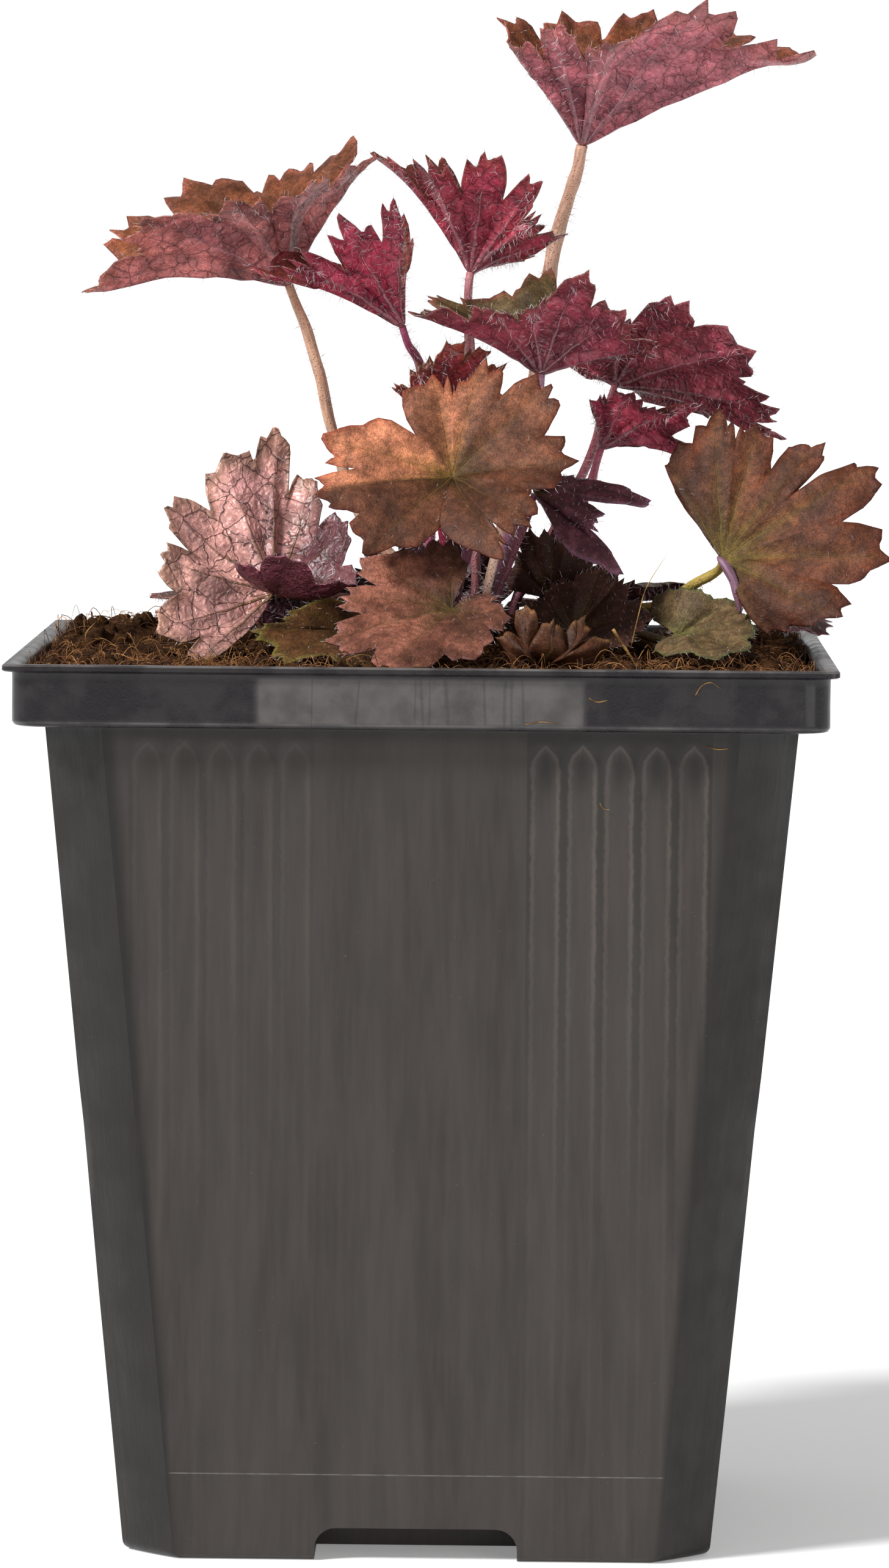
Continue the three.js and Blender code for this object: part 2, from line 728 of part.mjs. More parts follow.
// The blade as the union of a small block for each triangle, so that a blade folded tight at
// its hub still is one clean solid. Both faces are split into the same triangles.
function bladeGeometry(leaf) {
  const { points, triangles } = bladeSheet(leaf);
  const moves = offsets(points, triangles);
  const half = BLADE.thickness / 2;
  const corners = points.map((p, i) => [half, -half].map((by) => {
    return p.clone().addScaledVector(moves[i], by).toArray();
  }));
  const blocks = triangles.map((ids) => wasm.Manifold.hull(ids.flatMap((id) => corners[id])));
  return geometryOf(wasm.Manifold.union(blocks).simplify(BLADE.sliver));
}

// ---------------------------------------------------------------- stalks
// Height of the crown's surface over (x, y).
function crownHeight(x, y) {
  const off = Math.hypot(x - CROWN.x, y - CROWN.y) / CROWN.radius;
  return CROWN.top - CROWN.fall * off * off;
}

// How far below the hub a stalk that leaves it along `leave` has to end, so that the rim of
// its end is clear of the blade.
function seatDrop(leaf, leave) {
  const { points, triangles } = bladeSheet(leaf);
  const corners = triangles.map((ids) => new THREE.Triangle(...ids.map((id) => points[id])));
  const need = CLEARANCE + BLADE.thickness * STALK.seatSpare;
  const aslant = new THREE.Vector3(0.3, 0.5, 0.8); // no stalk runs along it
  const side = aslant.cross(leave).setLength(leaf.stalk * STALK.tip);
  const near = new THREE.Vector3();
  const isClear = (point) => corners.every(
    (face) => face.closestPointToPoint(point, near).distanceTo(point) > need);
  for (let drop = need; drop < STALK.lowestSeat; drop += STALK.seatStep) {
    const centre = vec(leaf.hub).addScaledVector(leave, -drop);
    let clear = true;
    for (let i = 0; i < STALK.rimChecks && clear; i += 1) {
      const out = side.clone().applyAxisAngle(leave, 2 * Math.PI * i / STALK.rimChecks);
      clear = isClear(out.add(centre));
    }
    if (clear) return drop;
  }
  return STALK.lowestSeat;
}

// The stalk's centre line, from its socket in the crown to just under the blade.
function stalkCurve(leaf, sunk) {
  const [x, y] = leaf.root;
  const out = new THREE.Vector3(x - CROWN.x, y - CROWN.y, 0).multiplyScalar(CROWN.splay);
  const surface = crownHeight(x, y);
  const foot = new THREE.Vector3(x, y, surface - sunk);
  const neck = foot.clone().add(out).setZ(surface + CROWN.neck);
  const axis = bladeAxis(leaf);
  const hub = vec(leaf.hub);
  const via = leaf.stem.map(vec).reverse();
  const along = hub.clone().sub(via.at(-1) ?? neck).normalize();
  const leave = axis.clone().lerp(along, leaf.leave ?? STALK.leave).normalize();
  const top = hub.clone().addScaledVector(leave, -seatDrop(leaf, leave));
  const near = hub.clone().addScaledVector(leave, -STALK.near);
  return new THREE.CatmullRomCurve3([foot, neck, ...via, near, top], false, 'centripetal');
}

// A tapering tube with closed ends along a curve cut into `steps`, of which the first `rows`
// are built.
function tube(curve, radiusAt, sides, steps, rows = steps) {
  const frames = curve.computeFrenetFrames(steps, false);
  const rings = [];
  for (let k = 0; k <= rows; k += 1) {
    const centre = curve.getPointAt(k / steps);
    const radius = radiusAt(k / steps);
    const ring = [];
    for (let i = 0; i < sides; i += 1) {
      const angle = 2 * Math.PI * i / sides;
      const p = centre.clone();
      p.addScaledVector(frames.normals[k], radius * Math.cos(angle));
      p.addScaledVector(frames.binormals[k], radius * Math.sin(angle));
      ring.push(p);
    }
    rings.push(ring);
  }
  return loft(rings);
}

function stalkRadius(leaf, t) {
  const unflared = Math.min(t / STALK.flareEnd, 1);
  const narrowed = Math.max((t - STALK.tipStart) / (1 - STALK.tipStart), 0);
  const flare = THREE.MathUtils.lerp(STALK.flare, 1, unflared);
  return leaf.stalk * flare * THREE.MathUtils.lerp(1, STALK.tip, narrowed);
}

function stalkGeometry(leaf) {
  const curve = stalkCurve(leaf, CROWN.socketDepth - CLEARANCE);
  const steps = Math.max(STALK.fewestSteps, Math.round(curve.getLength() / STALK.stepLength));
  return tube(curve, (t) => stalkRadius(leaf, t), STALK.sides, steps);
}

// ---------------------------------------------------------------- the crown
// The knobbly body of the crown, level by level, thicker by `grow`.
function crownLoops(grow) {
  return CROWN.profile.map(([z, share], k) => {
    const loop = [];
    for (let i = 0; i < CROWN.sides; i += 1) {
      const angle = 2 * Math.PI * i / CROWN.sides;
      const knobs = 0.07 * Math.sin(3 * angle + k) + 0.05 * Math.sin(5 * angle - 2 * k);
      const radius = CROWN.radius * share * (1 + knobs) + grow;
      const end = k === 0 ? -grow : grow;
      loop.push(new THREE.Vector3(
        CROWN.x + radius * Math.cos(angle), CROWN.y + radius * Math.sin(angle), z + end));
    }
    return loop;
  });
}

function crownGeometry() {
  const sockets = LEAVES.map((leaf) => {
    const curve = stalkCurve(leaf, CROWN.socketDepth);
    const steps = Math.ceil(curve.getLength() / CROWN.socketStep);
    const wide = (t) => stalkRadius(leaf, t) + CROWN.socketGap;
    return solidOf(tube(curve, wide, CROWN.socketSides, steps, 2));
  });
  return geometryOf(solidOf(loft(crownLoops(0))).subtract(wasm.Manifold.union(sockets)));
}

// ---------------------------------------------------------------- the soil
// Where something lies close over the soil, its lowest points press a dip into the surface.
function restingPoints(geometries) {
  const points = [];
  for (const geometry of geometries) {
    const at = geometry.attributes.position;
    for (let i = 0; i < at.count; i += 1) {
      const point = [at.getX(i), at.getY(i), at.getZ(i)];
      if (point[2] < SOIL.level + SOIL.restHeight) points.push(point);
    }
  }
  return points;
}

// Waves of three lengths that cross, which leave the surface uneven all over.
function lumps(x, y) {
  return Math.sin(0.61 * x + 1.3) * Math.cos(0.53 * y - 0.4)
    + 0.6 * Math.sin(1.13 * x - 0.9 * y) + 0.4 * Math.cos(1.7 * y + 0.8 * x);
}

function soilHeight(x, y, resting) {
  const fromCrown = Math.hypot(x - CROWN.x, y - CROWN.y);
  let z = SOIL.level + SOIL.lump * lumps(x, y);
  z += SOIL.mound * Math.exp(-((fromCrown / SOIL.moundSpread) ** 2));
  for (const heap of SOIL.heaps) {
    const off = Math.hypot((x - heap.x) / heap.wide, (y - heap.y) / heap.deep);
    z += heap.height * Math.exp(-(off ** 2));
  }
  for (const [px, py, pz] of resting) {
    const off = Math.hypot(px - x, py - y);
    const rise = SOIL.dipSlope * Math.max(0, off - SOIL.dipFlat);
    if (off < SOIL.dipReach) z = Math.min(z, pz - SOIL.leafGap + rise);
  }
  return z;
}

// A block with that surface, cut to the space in the pot round the crown.
function soilGeometry(over) {
  const resting = restingPoints(over);
  const half = POT.lipHalf;
  const step = 2 * half / SOIL.cells;
  const side = SOIL.cells + 1;
  const top = [];
  for (let j = 0; j < side; j += 1) {
    for (let i = 0; i < side; i += 1) {
      const x = -half + i * step;
      const y = -half + j * step;
      top.push(new THREE.Vector3(x, y, soilHeight(x, y, resting)));
    }
  }
  const points = [...top, ...top.map((p) => p.clone().setZ(0))];
  const triangles = [];
  const under = side * side;
  for (let j = 0; j < SOIL.cells; j += 1) {
    for (let i = 0; i < SOIL.cells; i += 1) {
      const a = j * side + i;
      const [b, c, d] = [a + 1, a + side + 1, a + side];
      triangles.push([a, b, c], [a, c, d], [a + under, c + under, b + under],
        [a + under, d + under, c + under]);
    }
  }
  const rim = [];
  for (let i = 0; i < SOIL.cells; i += 1) rim.push(i);
  for (let j = 0; j < SOIL.cells; j += 1) rim.push(j * side + SOIL.cells);
  for (let i = SOIL.cells; i > 0; i -= 1) rim.push(SOIL.cells * side + i);
  for (let j = SOIL.cells; j > 0; j -= 1) rim.push(j * side);
  for (let i = 0; i < rim.length; i += 1) {
    const a = rim[i];
    const b = rim[(i + 1) % rim.length];
    triangles.push([b, a, a + under], [b, a + under, b + under]);
  }
  const block = solidOf(meshOf(points, triangles));
  const space = solidOf(potCavity(CLEARANCE, POT.height + SOIL.restHeight));
  const body = block.intersect(space).subtract(channels(POT.wall + CLEARANCE));
  return geometryOf(body.subtract(solidOf(loft(crownLoops(SOIL.crownGap)))));
}

// ---------------------------------------------------------------- assembly
const plant = new THREE.Group();

function add(name, geometry, color, roughness) {
  const material = new THREE.MeshStandardMaterial({ color, roughness, metalness: 0 });
  const mesh = new THREE.Mesh(geometry, material);
  mesh.name = name;
  plant.add(mesh);
}

const blades = LEAVES.map(bladeGeometry);
const stalks = LEAVES.map(stalkGeometry);

add('pot', potGeometry(), 0x4a4745, 0.45);
add('soil', soilGeometry([...blades, ...stalks]), 0x3a281c, 0.98);
add('crown', crownGeometry(), 0x4d3226, 0.9);
LEAVES.forEach((leaf, i) => {
  add(`leaf_blade_${leaf.name}`, blades[i], leaf.blade, 0.55);
  add(`leaf_stalk_${leaf.name}`, stalks[i], leaf.stalkColour, 0.6);
});

export default plant;
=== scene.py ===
"""Looks for the potted heuchera: fine leaves with veins and hairs, soil, pot and a plain studio.

Millimetres are used in this file and turned into metres where meshes are made. The part's frame
is kept: +Z up, +Y away from the plant's front, origin under the middle of the pot."""

import json

import bpy
import numpy as np
from mathutils import Matrix, Vector
from mathutils.bvhtree import BVHTree


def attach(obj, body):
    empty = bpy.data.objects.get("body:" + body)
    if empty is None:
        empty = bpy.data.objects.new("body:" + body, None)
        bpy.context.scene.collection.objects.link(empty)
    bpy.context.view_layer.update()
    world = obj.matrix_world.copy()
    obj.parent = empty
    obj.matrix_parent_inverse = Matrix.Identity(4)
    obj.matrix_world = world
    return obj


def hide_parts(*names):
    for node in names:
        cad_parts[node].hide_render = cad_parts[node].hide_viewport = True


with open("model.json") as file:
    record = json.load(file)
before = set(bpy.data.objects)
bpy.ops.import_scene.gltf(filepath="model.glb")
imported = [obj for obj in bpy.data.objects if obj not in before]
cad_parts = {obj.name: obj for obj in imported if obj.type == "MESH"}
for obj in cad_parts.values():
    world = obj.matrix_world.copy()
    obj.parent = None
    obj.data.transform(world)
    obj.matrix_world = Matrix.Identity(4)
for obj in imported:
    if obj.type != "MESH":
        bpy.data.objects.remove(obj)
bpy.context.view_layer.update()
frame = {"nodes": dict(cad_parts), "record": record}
MM = 0.001
rng = np.random.default_rng(41)

# ---------------------------------------------------------------- sizes shared with the solids
POT = dict(
    height=99, lip_half=45, lip_thick=0.8, band_half=44.1, band_height=6.8, body_top=41,
    body_base=32.4, chamfer_top=6.5, chamfer_base=5.8, band_round=3, lip_round=0.9, wall=1,
    channel_width=22.3, channel_height=3.7, channel_round=2.4, foot_radius=7, drain_radius=2.4,
    drain_reaches=(13, 24), flute_width=3.2, flute_pitch=4, flute_depth=0.35, flute_length=62,
    flutes=5, flute_start=13.5, flute_drop=1.6)
SHOULDER = POT["height"] - POT["band_height"]
CROWN = dict(x=5, y=0, top=103, radius=9.6, fall=3.2, socket=2.3, neck=2, splay=0.12)
BLADE = dict(notch=0.14, bay=4, point=0.08, teeth=3, tooth=0.06, bow=0.05, puff=0.05, fold=0.05,
             ear=0.4, ear_length=0.62, look=0.2)
STALK = dict(flare=1.25, flare_end=0.12, near=2.4, leave=0.6)

# Sizes of the fine forms that only this file has: of the pot, of the blades and stalks, of the
# hairs (radii, the step between two on a margin, and how many a blade's sides have and a mm of
# stalk) and of the soil. score_height is that of the thin moulded line round the pot's body.
FINE = dict(
    foot_round=1.2, rib_reach=23, rib_thick=0.9, rib_clear=0.35, flute_arch=2.6, score_height=9.7,
    pleat=0.7, jag=1.15, ruffle=0.55, mucro=0.6, margin_thick=0.07, hub_thick=0.1,
    vein_half=0.2, vein_flare=0.14, vein_ridge=0.16, withered_thick=0.1, stalk_narrowing=0.22,
    hair=0.024, short_hair=0.02, hair_step=0.42, under_hairs=320, upper_hairs=90, stalk_hairs=5.5,
    soil_grid=0.5, crumb_margin=1.9, fibre_margin=0.6, strand=0.07, cling=0.04)

# Each leaf as in the solids: hub, lobe tips, stalk radius, the points of the stalk from the blade
# down (stem) and its foot in the crown (root). notch is the depth of the bays between the lobes
# and cuts that of single bays, taper hollows the flanks of single lobes, bow curves the lobes,
# ear and ear_length are the turn and length of the two basal edges, and leave is 1 where the
# stalk meets the blade along its own line and 0 where it does along the blade's axis. Only for
# the looks: pleat scales the folds along the veins, jag the teeth and ruffle the waves; tones
# are pairs of a place along the margin, counted in lobes, and a brightness that paints light
# and shade over the blade; the lobes past flap are folded over and have flap_colour. upper and
# under are the colours of the two sides, heart that round the hub and along the veins, and rim
# that of the margin.
LEAVES = [
    dict(name="01", hub=(17, 5, 155.5), stalk=0.85, root=(6.9, -1.1), bow=0.02, taper={4: 0.06},
         tips=[(9, -1, 166.5), (14, -8, 169), (20, -11, 167), (30, -8, 171.5), (44.5, 2, 167),
               (34, 14, 169), (24.5, 18, 171), (15.5, 17, 170.5), (7.5, 10, 169.5)],
         stem=[(14, 7, 144), (11.5, 4, 126), (8.5, 0.5, 112)],
         upper="744028", heart="5e4028", under="b8686e", rim="9c5648", stem_colour="c49c84"),
    dict(name="02", hub=(-16, 2, 139.5), stalk=0.65, root=(0.8, 2.4),
         tips=[(-8.5, 12, 156), (-16, 18, 152.5), (-28.5, 17, 151.5), (-36.5, 10, 145.5),
               (-39.5, 1, 139), (-32.5, -7, 146.5), (-21.5, -13, 149), (-14.5, -11, 151),
               (-6.5, -1, 154)],
         stem=[(-14, 2, 134.5), (-12.5, 2, 129.5), (-11, 3, 123), (-7, 3, 112)],
         upper="80482e", heart="5a4028", under="c0726e", rim="9c5a48", stem_colour="cca084"),
    dict(name="03", hub=(-3, -6, 135), stalk=0.55, root=(0.3, -0.8), notch=0.24, jag=2.6,
         tips=[(-2.5, -2, 147.5), (-9, -1, 145), (-20, -9, 142), (-15.5, -14, 143),
               (-10, -14, 147.5), (-3.5, -9, 149)],
         stem=[(-1, -2.5, 130.5), (0, 0, 120), (0.3, 0, 112)],
         upper="7d3a34", heart="6a3428", under="bc3a54", rim="8a3a44", stem_colour="a3476a"),
    dict(name="04", hub=(4.5, 4, 141), stalk=0.58, root=(5.4, 2.2), notch=0.2, jag=1.7,
         tips=[(1.5, 10, 153.5), (-6.5, 2, 154.5), (-0.5, -4, 153.5), (6.5, -5, 155),
               (12.5, -4, 151.5), (12.5, -2, 147.5), (15.5, 1.5, 145.5), (10, 6, 142.5)],
         stem=[(4.5, 4, 133), (5, 3, 118)],
         upper="7a3430", heart="5e3a24", under="b74557", rim="7a4030", stem_colour="bd7a80"),
    dict(name="05", hub=(12.5, -11, 130), stalk=0.68, root=(7.4, -4.2),
         tips=[(13.5, -4, 141.5), (4, -5, 138), (0, -8, 138.7), (-1.5, -13, 137),
               (6.5, -19, 137), (11.5, -20, 137.5), (17, -19, 141.5), (22, -16, 137),
               (25.5, -10, 132.5)],
         stem=[(11.5, -7, 121), (9.5, -6, 112.5)],
         upper="5a482c", heart="4e4828", under="9a4250", rim="7a4038", stem_colour="a8748a"),
    dict(name="06", hub=(21, 3, 128.5), stalk=0.52, root=(9.5, 1.6),
         tips=[(16, 3, 130.5), (20.5, -4, 135.5), (27, -6, 138.5), (36.5, -4, 132.5),
               (39.5, 3, 125.5), (40, 9, 122), (32, 14, 125)],
         stem=[(19.8, 5, 125.5), (18.6, 6, 121), (14.5, 4, 112.5)],
         upper="70302f", heart="5e3428", under="a04650", rim="8a4a50", stem_colour="a65864"),
    dict(name="07", hub=(19.5, -1, 121.5), stalk=0.5, root=(9.6, -1.2),
         tips=[(18.5, -4, 127), (22.5, -8, 128), (27.5, -9, 125.5), (30, -3, 126.5),
               (28.5, 2, 121), (24.5, 3, 125.5), (19.5, 1, 127)],
         stem=[(18.5, -1, 118), (16, -1, 112)],
         upper="66302c", heart="553024", under="b74559", rim="7c3a44", stem_colour="a04e62"),
    dict(name="08", hub=(33, -16, 109.5), stalk=0.6, root=(12.5, 1.3), ear=0.12,
         notch=0.18, cuts={1: 0, 4: 0.36, 6: 0.04, 7: 0},
         tips=[(37.5, -22, 102), (45.5, -25, 103.5), (51, -22, 110.3), (50, -17, 120),
               (43.7, -13.5, 122.5), (37, -10, 124), (32, -8.5, 126), (26.5, -9, 121)],
         stem=[(29, -10.5, 106), (27.7, -8.5, 104.4), (22, -3.5, 103.4)],
         painted_light=[(0, 0.75), (1.5, 0.9), (2.5, 1.15), (4, 1), (5.5, 1.15), (6.5, 0.85), (8, 0.75)],
         pleat=0.3, jag=0.9,
         upper="5c3221", heart="6e5a28", under="7a4a5e", rim="52281e", stem_colour="b29a4c"),
    dict(name="09", hub=(3, -17, 118.5), stalk=0.6, root=(3.4, -4.5), ear=0.6,
         ear_length=0.52, cuts={6: 0.4},
         tips=[(8, -27, 109.5), (11.5, -26, 113.5), (16.5, -20, 120), (14, -15, 129),
               (6, -12.5, 131.5), (0.5, -12.5, 129.5), (-11.5, -17, 122.5), (-12.5, -20, 116.5),
               (-6.5, -24, 110)],
         stem=[(5, -10, 113)],
         painted_light=[(0, 0.2), (2.4, 0.24), (4.1, 0.36), (4.4, 0.72), (5.4, 0.92), (5.9, 0.5),
                (6.1, 1.05), (7.42, 1), (7.54, 0.24), (9, 0.2)],
         pleat=0.3, jag=1.5,
         upper="bc7656", heart="80602c", under="7e3c58", rim="a04a38", stem_colour="8c5668"),
    dict(name="10", hub=(-17, -7, 105), stalk=0.6, root=(-2.6, 0), leave=1, ear=0.2,
         notch=0.17, cuts={2: 0.1, 5: 0.06},
         tips=[(-25.5, -16, 97.8), (-30, -14, 101), (-30, -11, 109), (-29.5, -7, 114.5),
               (-23, -2, 120.5), (-17, 2, 123.5), (-13, 1, 117.5), (-9, -6, 113),
               (-7.5, -14, 106.5), (-15.5, -21, 110), (-21, -19, 108.5)],
         stem=[(-8, -1, 104)], flap=7.9, flap_colour="c0687e",
         painted_light=[(0, 0.6), (1, 0.72), (2.5, 0.95), (4, 1.08), (6.2, 1), (6.8, 0.6), (11, 0.5)],
         pleat=0.4, jag=0.75,
         upper="6e4a34", heart="8a7a44", under="f0b4a4", rim="94744e", stem_colour="9c6a5c"),
    dict(name="11", hub=(3, -22, 104), stalk=0.55, root=(3, -7.3),
         tips=[(3, -18, 111.5), (-7, -20, 109.5), (-9, -24, 105.5), (-10.5, -31, 100.5),
               (-3.5, -37, 98), (6.5, -34, 99.5), (9.5, -28, 103), (7, -22, 106)],
         stem=[],
         painted_light=[(0, 0.45), (0.9, 0.6), (1.3, 1.1), (4.4, 1.15), (4.6, 0.75), (6, 0.8), (8, 0.45)],
         pleat=0.35, jag=1.3,
         upper="845242", heart="54462a", under="7e3c50", rim="8c5a50", stem_colour="8a5a50"),
    dict(name="12", hub=(-6.5, -14.5, 100.5), stalk=0.5, root=(-1.2, -4.4), notch=0.04,
         tips=[(-8, -13.5, 104), (-14.5, -18.5, 103.9), (-18.8, -22, 101.5), (-15, -27.5, 99),
               (-8, -28, 98.2)],
         stem=[],
         pleat=0.4, jag=0.7,
         upper="563820", heart="5e5020", under="6e4a44", rim="6a6428", stem_colour="7c5c44"),
    dict(name="13", hub=(28, -14.5, 101), stalk=0.5, root=(12.5, -1.3), notch=0.02,
         tips=[(27.5, -27, 99.4), (32, -30, 99.1), (35.8, -25.5, 99.9), (36.8, -20, 102),
               (34.7, -14.5, 104.9), (30.6, -14, 106.1), (25.5, -10, 105.2)],
         stem=[],
         pleat=0.4, jag=0.5,
         upper="6b563a", heart="5c5c34", under="6a4c48", rim="4c5a30", stem_colour="7a6a4a"),
    dict(name="14", hub=(14, -4, 104.5), stalk=0.45, root=(11.6, -3.8), notch=0.03, ear=0.6,
         ear_length=0.85,
         tips=[(21, -4, 107.3), (17.6, -5, 110.3), (14.1, -5, 112.3), (10.9, -4.5, 112.4),
               (9.6, -3.5, 109)],
         stem=[],
         upper="3c221c", heart="40301e", under="5a2a34", rim="50302a", stem_colour="6e3a34"),
    dict(name="15", hub=(16.5, -12, 101), stalk=0.5, root=(9.9, -5.8), notch=0.1,
         tips=[(15.5, -22, 98.9), (22.5, -19, 100), (25, -13.2, 103.3), (22, -8.2, 106.9),
               (19.6, -8, 108.3), (14, -9.5, 106.5), (11.3, -10.5, 104.5)],
         stem=[],
         upper="40261f", heart="46361f", under="5a2c34", rim="56342c", stem_colour="70403a"),
    dict(name="16", hub=(12, -9, 116.5), stalk=0.5, root=(7, -7.3), cuts={2: 0.7},
         tips=[(21.5, -18, 108), (19, -13, 113.5), (25.5, -6, 116), (17.5, -5, 118),
               (13, -6, 119)],
         stem=[],
         upper="5e3640", heart="4a3030", under="84506a", rim="8c6078", stem_colour="8a4858"),
    dict(name="17", hub=(0.5, -6, 123.5), stalk=0.5, root=(2.9, -0.8),
         tips=[(8.5, -3.5, 130.5), (4.5, -2.5, 132), (-1, -4.5, 131), (-4, -7, 128),
               (-1, -10, 130.5), (2.5, -10, 133.5), (7, -8, 132.5)],
         stem=[],
         upper="7a3a2c", heart="6a3428", under="a8383e", rim="8a5436", stem_colour="a0344e"),
    dict(name="18", hub=(-22.5, 16, 102), stalk=0.5, root=(-0.8, 4.9),
         tips=[(-19, 28, 103.5), (-25.5, 30, 104), (-31, 24, 103.5), (-32, 13, 103.5),
               (-28, 8, 103)],
         stem=[],
         upper="5a3630", heart="4a3c24", under="7a4250", rim="7a4a44", stem_colour="74403c"),
    dict(name="19", hub=(37.5, 4, 103), stalk=0.5, root=(11.2, 4.4),
         tips=[(40.5, -9, 101), (44.5, -4, 101), (44.5, 10, 102), (41.5, 18, 101.5)],
         stem=[],
         upper="4c2a26", heart="46361f", under="6a3444", rim="6a3038", stem_colour="74403c"),
    dict(name="20", hub=(5, 15, 115), stalk=0.55, root=(5, 4.8),
         tips=[(9, 9, 119.5), (14.5, 13, 121.5), (15, 21, 120.5), (11, 27, 118.5),
               (4.5, 29.5, 117.5), (-2, 26, 118.5), (-6, 18, 121), (-1.5, 9.5, 120)],
         stem=[(5, 10.5, 108)],
         upper="7c4c38", heart="6e5a34", under="7a3a50", rim="8a4a40", stem_colour="8c5a4c"),
    dict(name="21", hub=(20, 17, 103.5), stalk=0.5, root=(8.8, 6.6),
         tips=[(19, 8.5, 105), (26, 8.5, 105.5), (31, 14, 105), (31.5, 21, 103.5),
               (27.5, 27, 102.5), (21, 29, 102), (14, 27, 102.5), (10, 21, 104.5),
               (12.5, 14, 105.5)],
         stem=[],
         upper="5a4630", heart="6a6034", under="7a4450", rim="5c5230", stem_colour="78503c"),
]

# Withered leaves that stand round the crown, as thin blades without a solid of their own; their dark
# colours also stand in for the shade among the stalks there.
WITHERED_AND_SHADE = [
    dict(name="31", hub=(-14, 2, 101), ruffle=0.5, bow=0.1, pleat=1,
         tips=[(-21, 1.5, 103.5), (-18, 1, 107.2), (-13, 1, 108), (-8.5, 1.5, 106.5)],
         upper="3c2219", heart="2c1a12", under="4a2830", rim="5a3424"),
    dict(name="32", hub=(0, 4.6, 102.4), ruffle=0.3, bow=0.03, pleat=1,
         tips=[(-9, 5, 106), (-6.5, 4.6, 109.8), (-2, 4.3, 111.5), (3, 4.2, 111.5),
               (8, 4.2, 109.8), (10.5, 4, 106.5)],
         upper="341d15", heart="24140e", under="40222a", rim="4c2c20"),
    dict(name="33", hub=(18.5, -3, 101.2), ruffle=0.6, bow=0.15, pleat=1,
         tips=[(13, -3.5, 104.5), (15.5, -4, 108), (20, -4, 108.5), (24, -4.5, 106), (26, -5, 103)],
         upper="3a2018", heart="2a1810", under="46262c", rim="5c3626"),
    dict(name="34", hub=(13, -29, 98.5), ruffle=1.5, bow=0.35, pleat=1.6, jag=0.8, notch=0.3,
         tips=[(20.5, -30, 101), (17.5, -30.5, 103.6), (14.2, -32, 103.2), (11, -31, 104.8),
               (8.2, -30, 101.2)],
         upper="4c2c1c", heart="301c12", under="5c3a26", rim="7c5636"),
]

# Crumbs: how many, and their least and largest size. Fibres: name, darkest and lightest colour,
# how many, and their least and largest radius.
CRUMBS = (700, 0.3, 0.8), (260, 0.7, 1.6)
FIBRES = (("coir_fibres", "6a3e1c", "b88450", 3600, (0.018, 0.06)),
          ("dark_fibres", "2c180c", "6c4020", 2600, (0.025, 0.08)))

# Loose strands: x and z of the points of those that cling to the front of the pot, then all of
# the points and the radius of the stick and the awns that stand in the soil.
CLINGING = [
    [(29.5, 96.3), (30.2, 97.4), (31.2, 97.7), (32.2, 97)], [(18.1, 95.9), (19, 95.5), (20.1, 95.7)],
    [(11.2, 93), (13, 93.3), (15.2, 93.1)], [(30.8, 90.6), (32, 90.3), (33.3, 90.4)],
    [(19.4, 84.3), (19.8, 83.7), (20.5, 83.6)],
    [(34.2, 80.2), (35.5, 82.2), (37.1, 83.6), (38.4, 84.2)]]
STANDING = [
    ([(20.7, -34, 102.8), (21.6, -34, 101.4), (22.4, -34, 100.2), (23.4, -34, 98.5)], 0.22),
    ([(22.7, -30, 100.6), (23.5, -30, 104.2), (24.4, -30, 107.3), (26.6, -30, 110.9)], 0.07),
    ([(-36, -34, 99.5), (-36.6, -34.4, 101.6), (-35.4, -34.8, 103.2)], 0.07)]

# The purple strip that curls out under the hub of leaf 08, and its radius.
ROLL = [(32.3, -17.5, 110), (33.3, -18.2, 108.8), (34.3, -18.6, 106.8), (34.9, -18.4, 103.7)]
ROLL_RADIUS = 0.55

# How hairy a leaf and its stalk are, where that isn't 1.
HAIRY = {"03": 1.8, "05": 1.3, "06": 1.3, "07": 1.5, "04": 1.6, "17": 1.6, "16": 1.5,
         "08": 0.5, "09": 0.8, "13": 0.5, "12": 0.6, "10": 0.5, "11": 0.7}


# ---------------------------------------------------------------- small tools
def linear(code):
    """Linear RGB of a six-digit sRGB code."""
    c = np.array([int(code[i:i + 2], 16) for i in (0, 2, 4)]) / 255
    return np.where(c <= 0.04045, c / 12.92, ((c + 0.055) / 1.055) ** 2.4)


def opaque(rgb):
    return (*rgb, 1.0)


def rgba(colours):
    colours = np.asarray(colours, float)
    return np.concatenate([colours, np.ones((len(colours), 1))], axis=1)


def unit(v):
    v = np.asarray(v, float)
    return v / np.maximum(np.linalg.norm(v, axis=-1, keepdims=True), 1e-9)


def smooth(low, high, x):
    t = np.clip((x - low) / (high - low), 0, 1)
    return t * t * (3 - 2 * t)


def mix(a, b, t):
    """a where t is 0 and b where it is 1, for colours with t an array."""
    t = np.asarray(t, float)[..., None]
    return np.asarray(a) * (1 - t) + np.asarray(b) * t


def turned(v, axis, angle):
    """v turned about a unit axis."""
    v, axis = np.asarray(v, float), np.asarray(axis, float)
    along = np.sum(v * axis, -1, keepdims=True) * axis
    return along + (v - along) * np.cos(angle) + np.cross(axis, v) * np.sin(angle)


def noise(points, size, seed=0):
    """Smooth random numbers from -1 to 1 that change over `size` mm."""
    p = np.asarray(points, float) / size + 1000
    cell = np.floor(p).astype(np.int64)
    f = p - cell
    f = f * f * (3 - 2 * f)
    total = np.zeros(len(p))
    for corner in range(8):
        d = np.array([corner & 1, corner >> 1 & 1, corner >> 2 & 1])
        x, y, z = (cell + d).T
        h = (x * 374761393 + y * 668265263 + z * 1274126177 + seed * 974634777) & 0x7FFFFFFF
        h = ((h ^ (h >> 13)) * 1103515245 + 12345) & 0x7FFFFFFF
        h = (h ^ (h >> 16)) & 0xFFFFFF
        weight = np.prod(np.where(d, f, 1 - f), axis=1)
        total += weight * (h / 0xFFFFFF * 2 - 1)
    return total


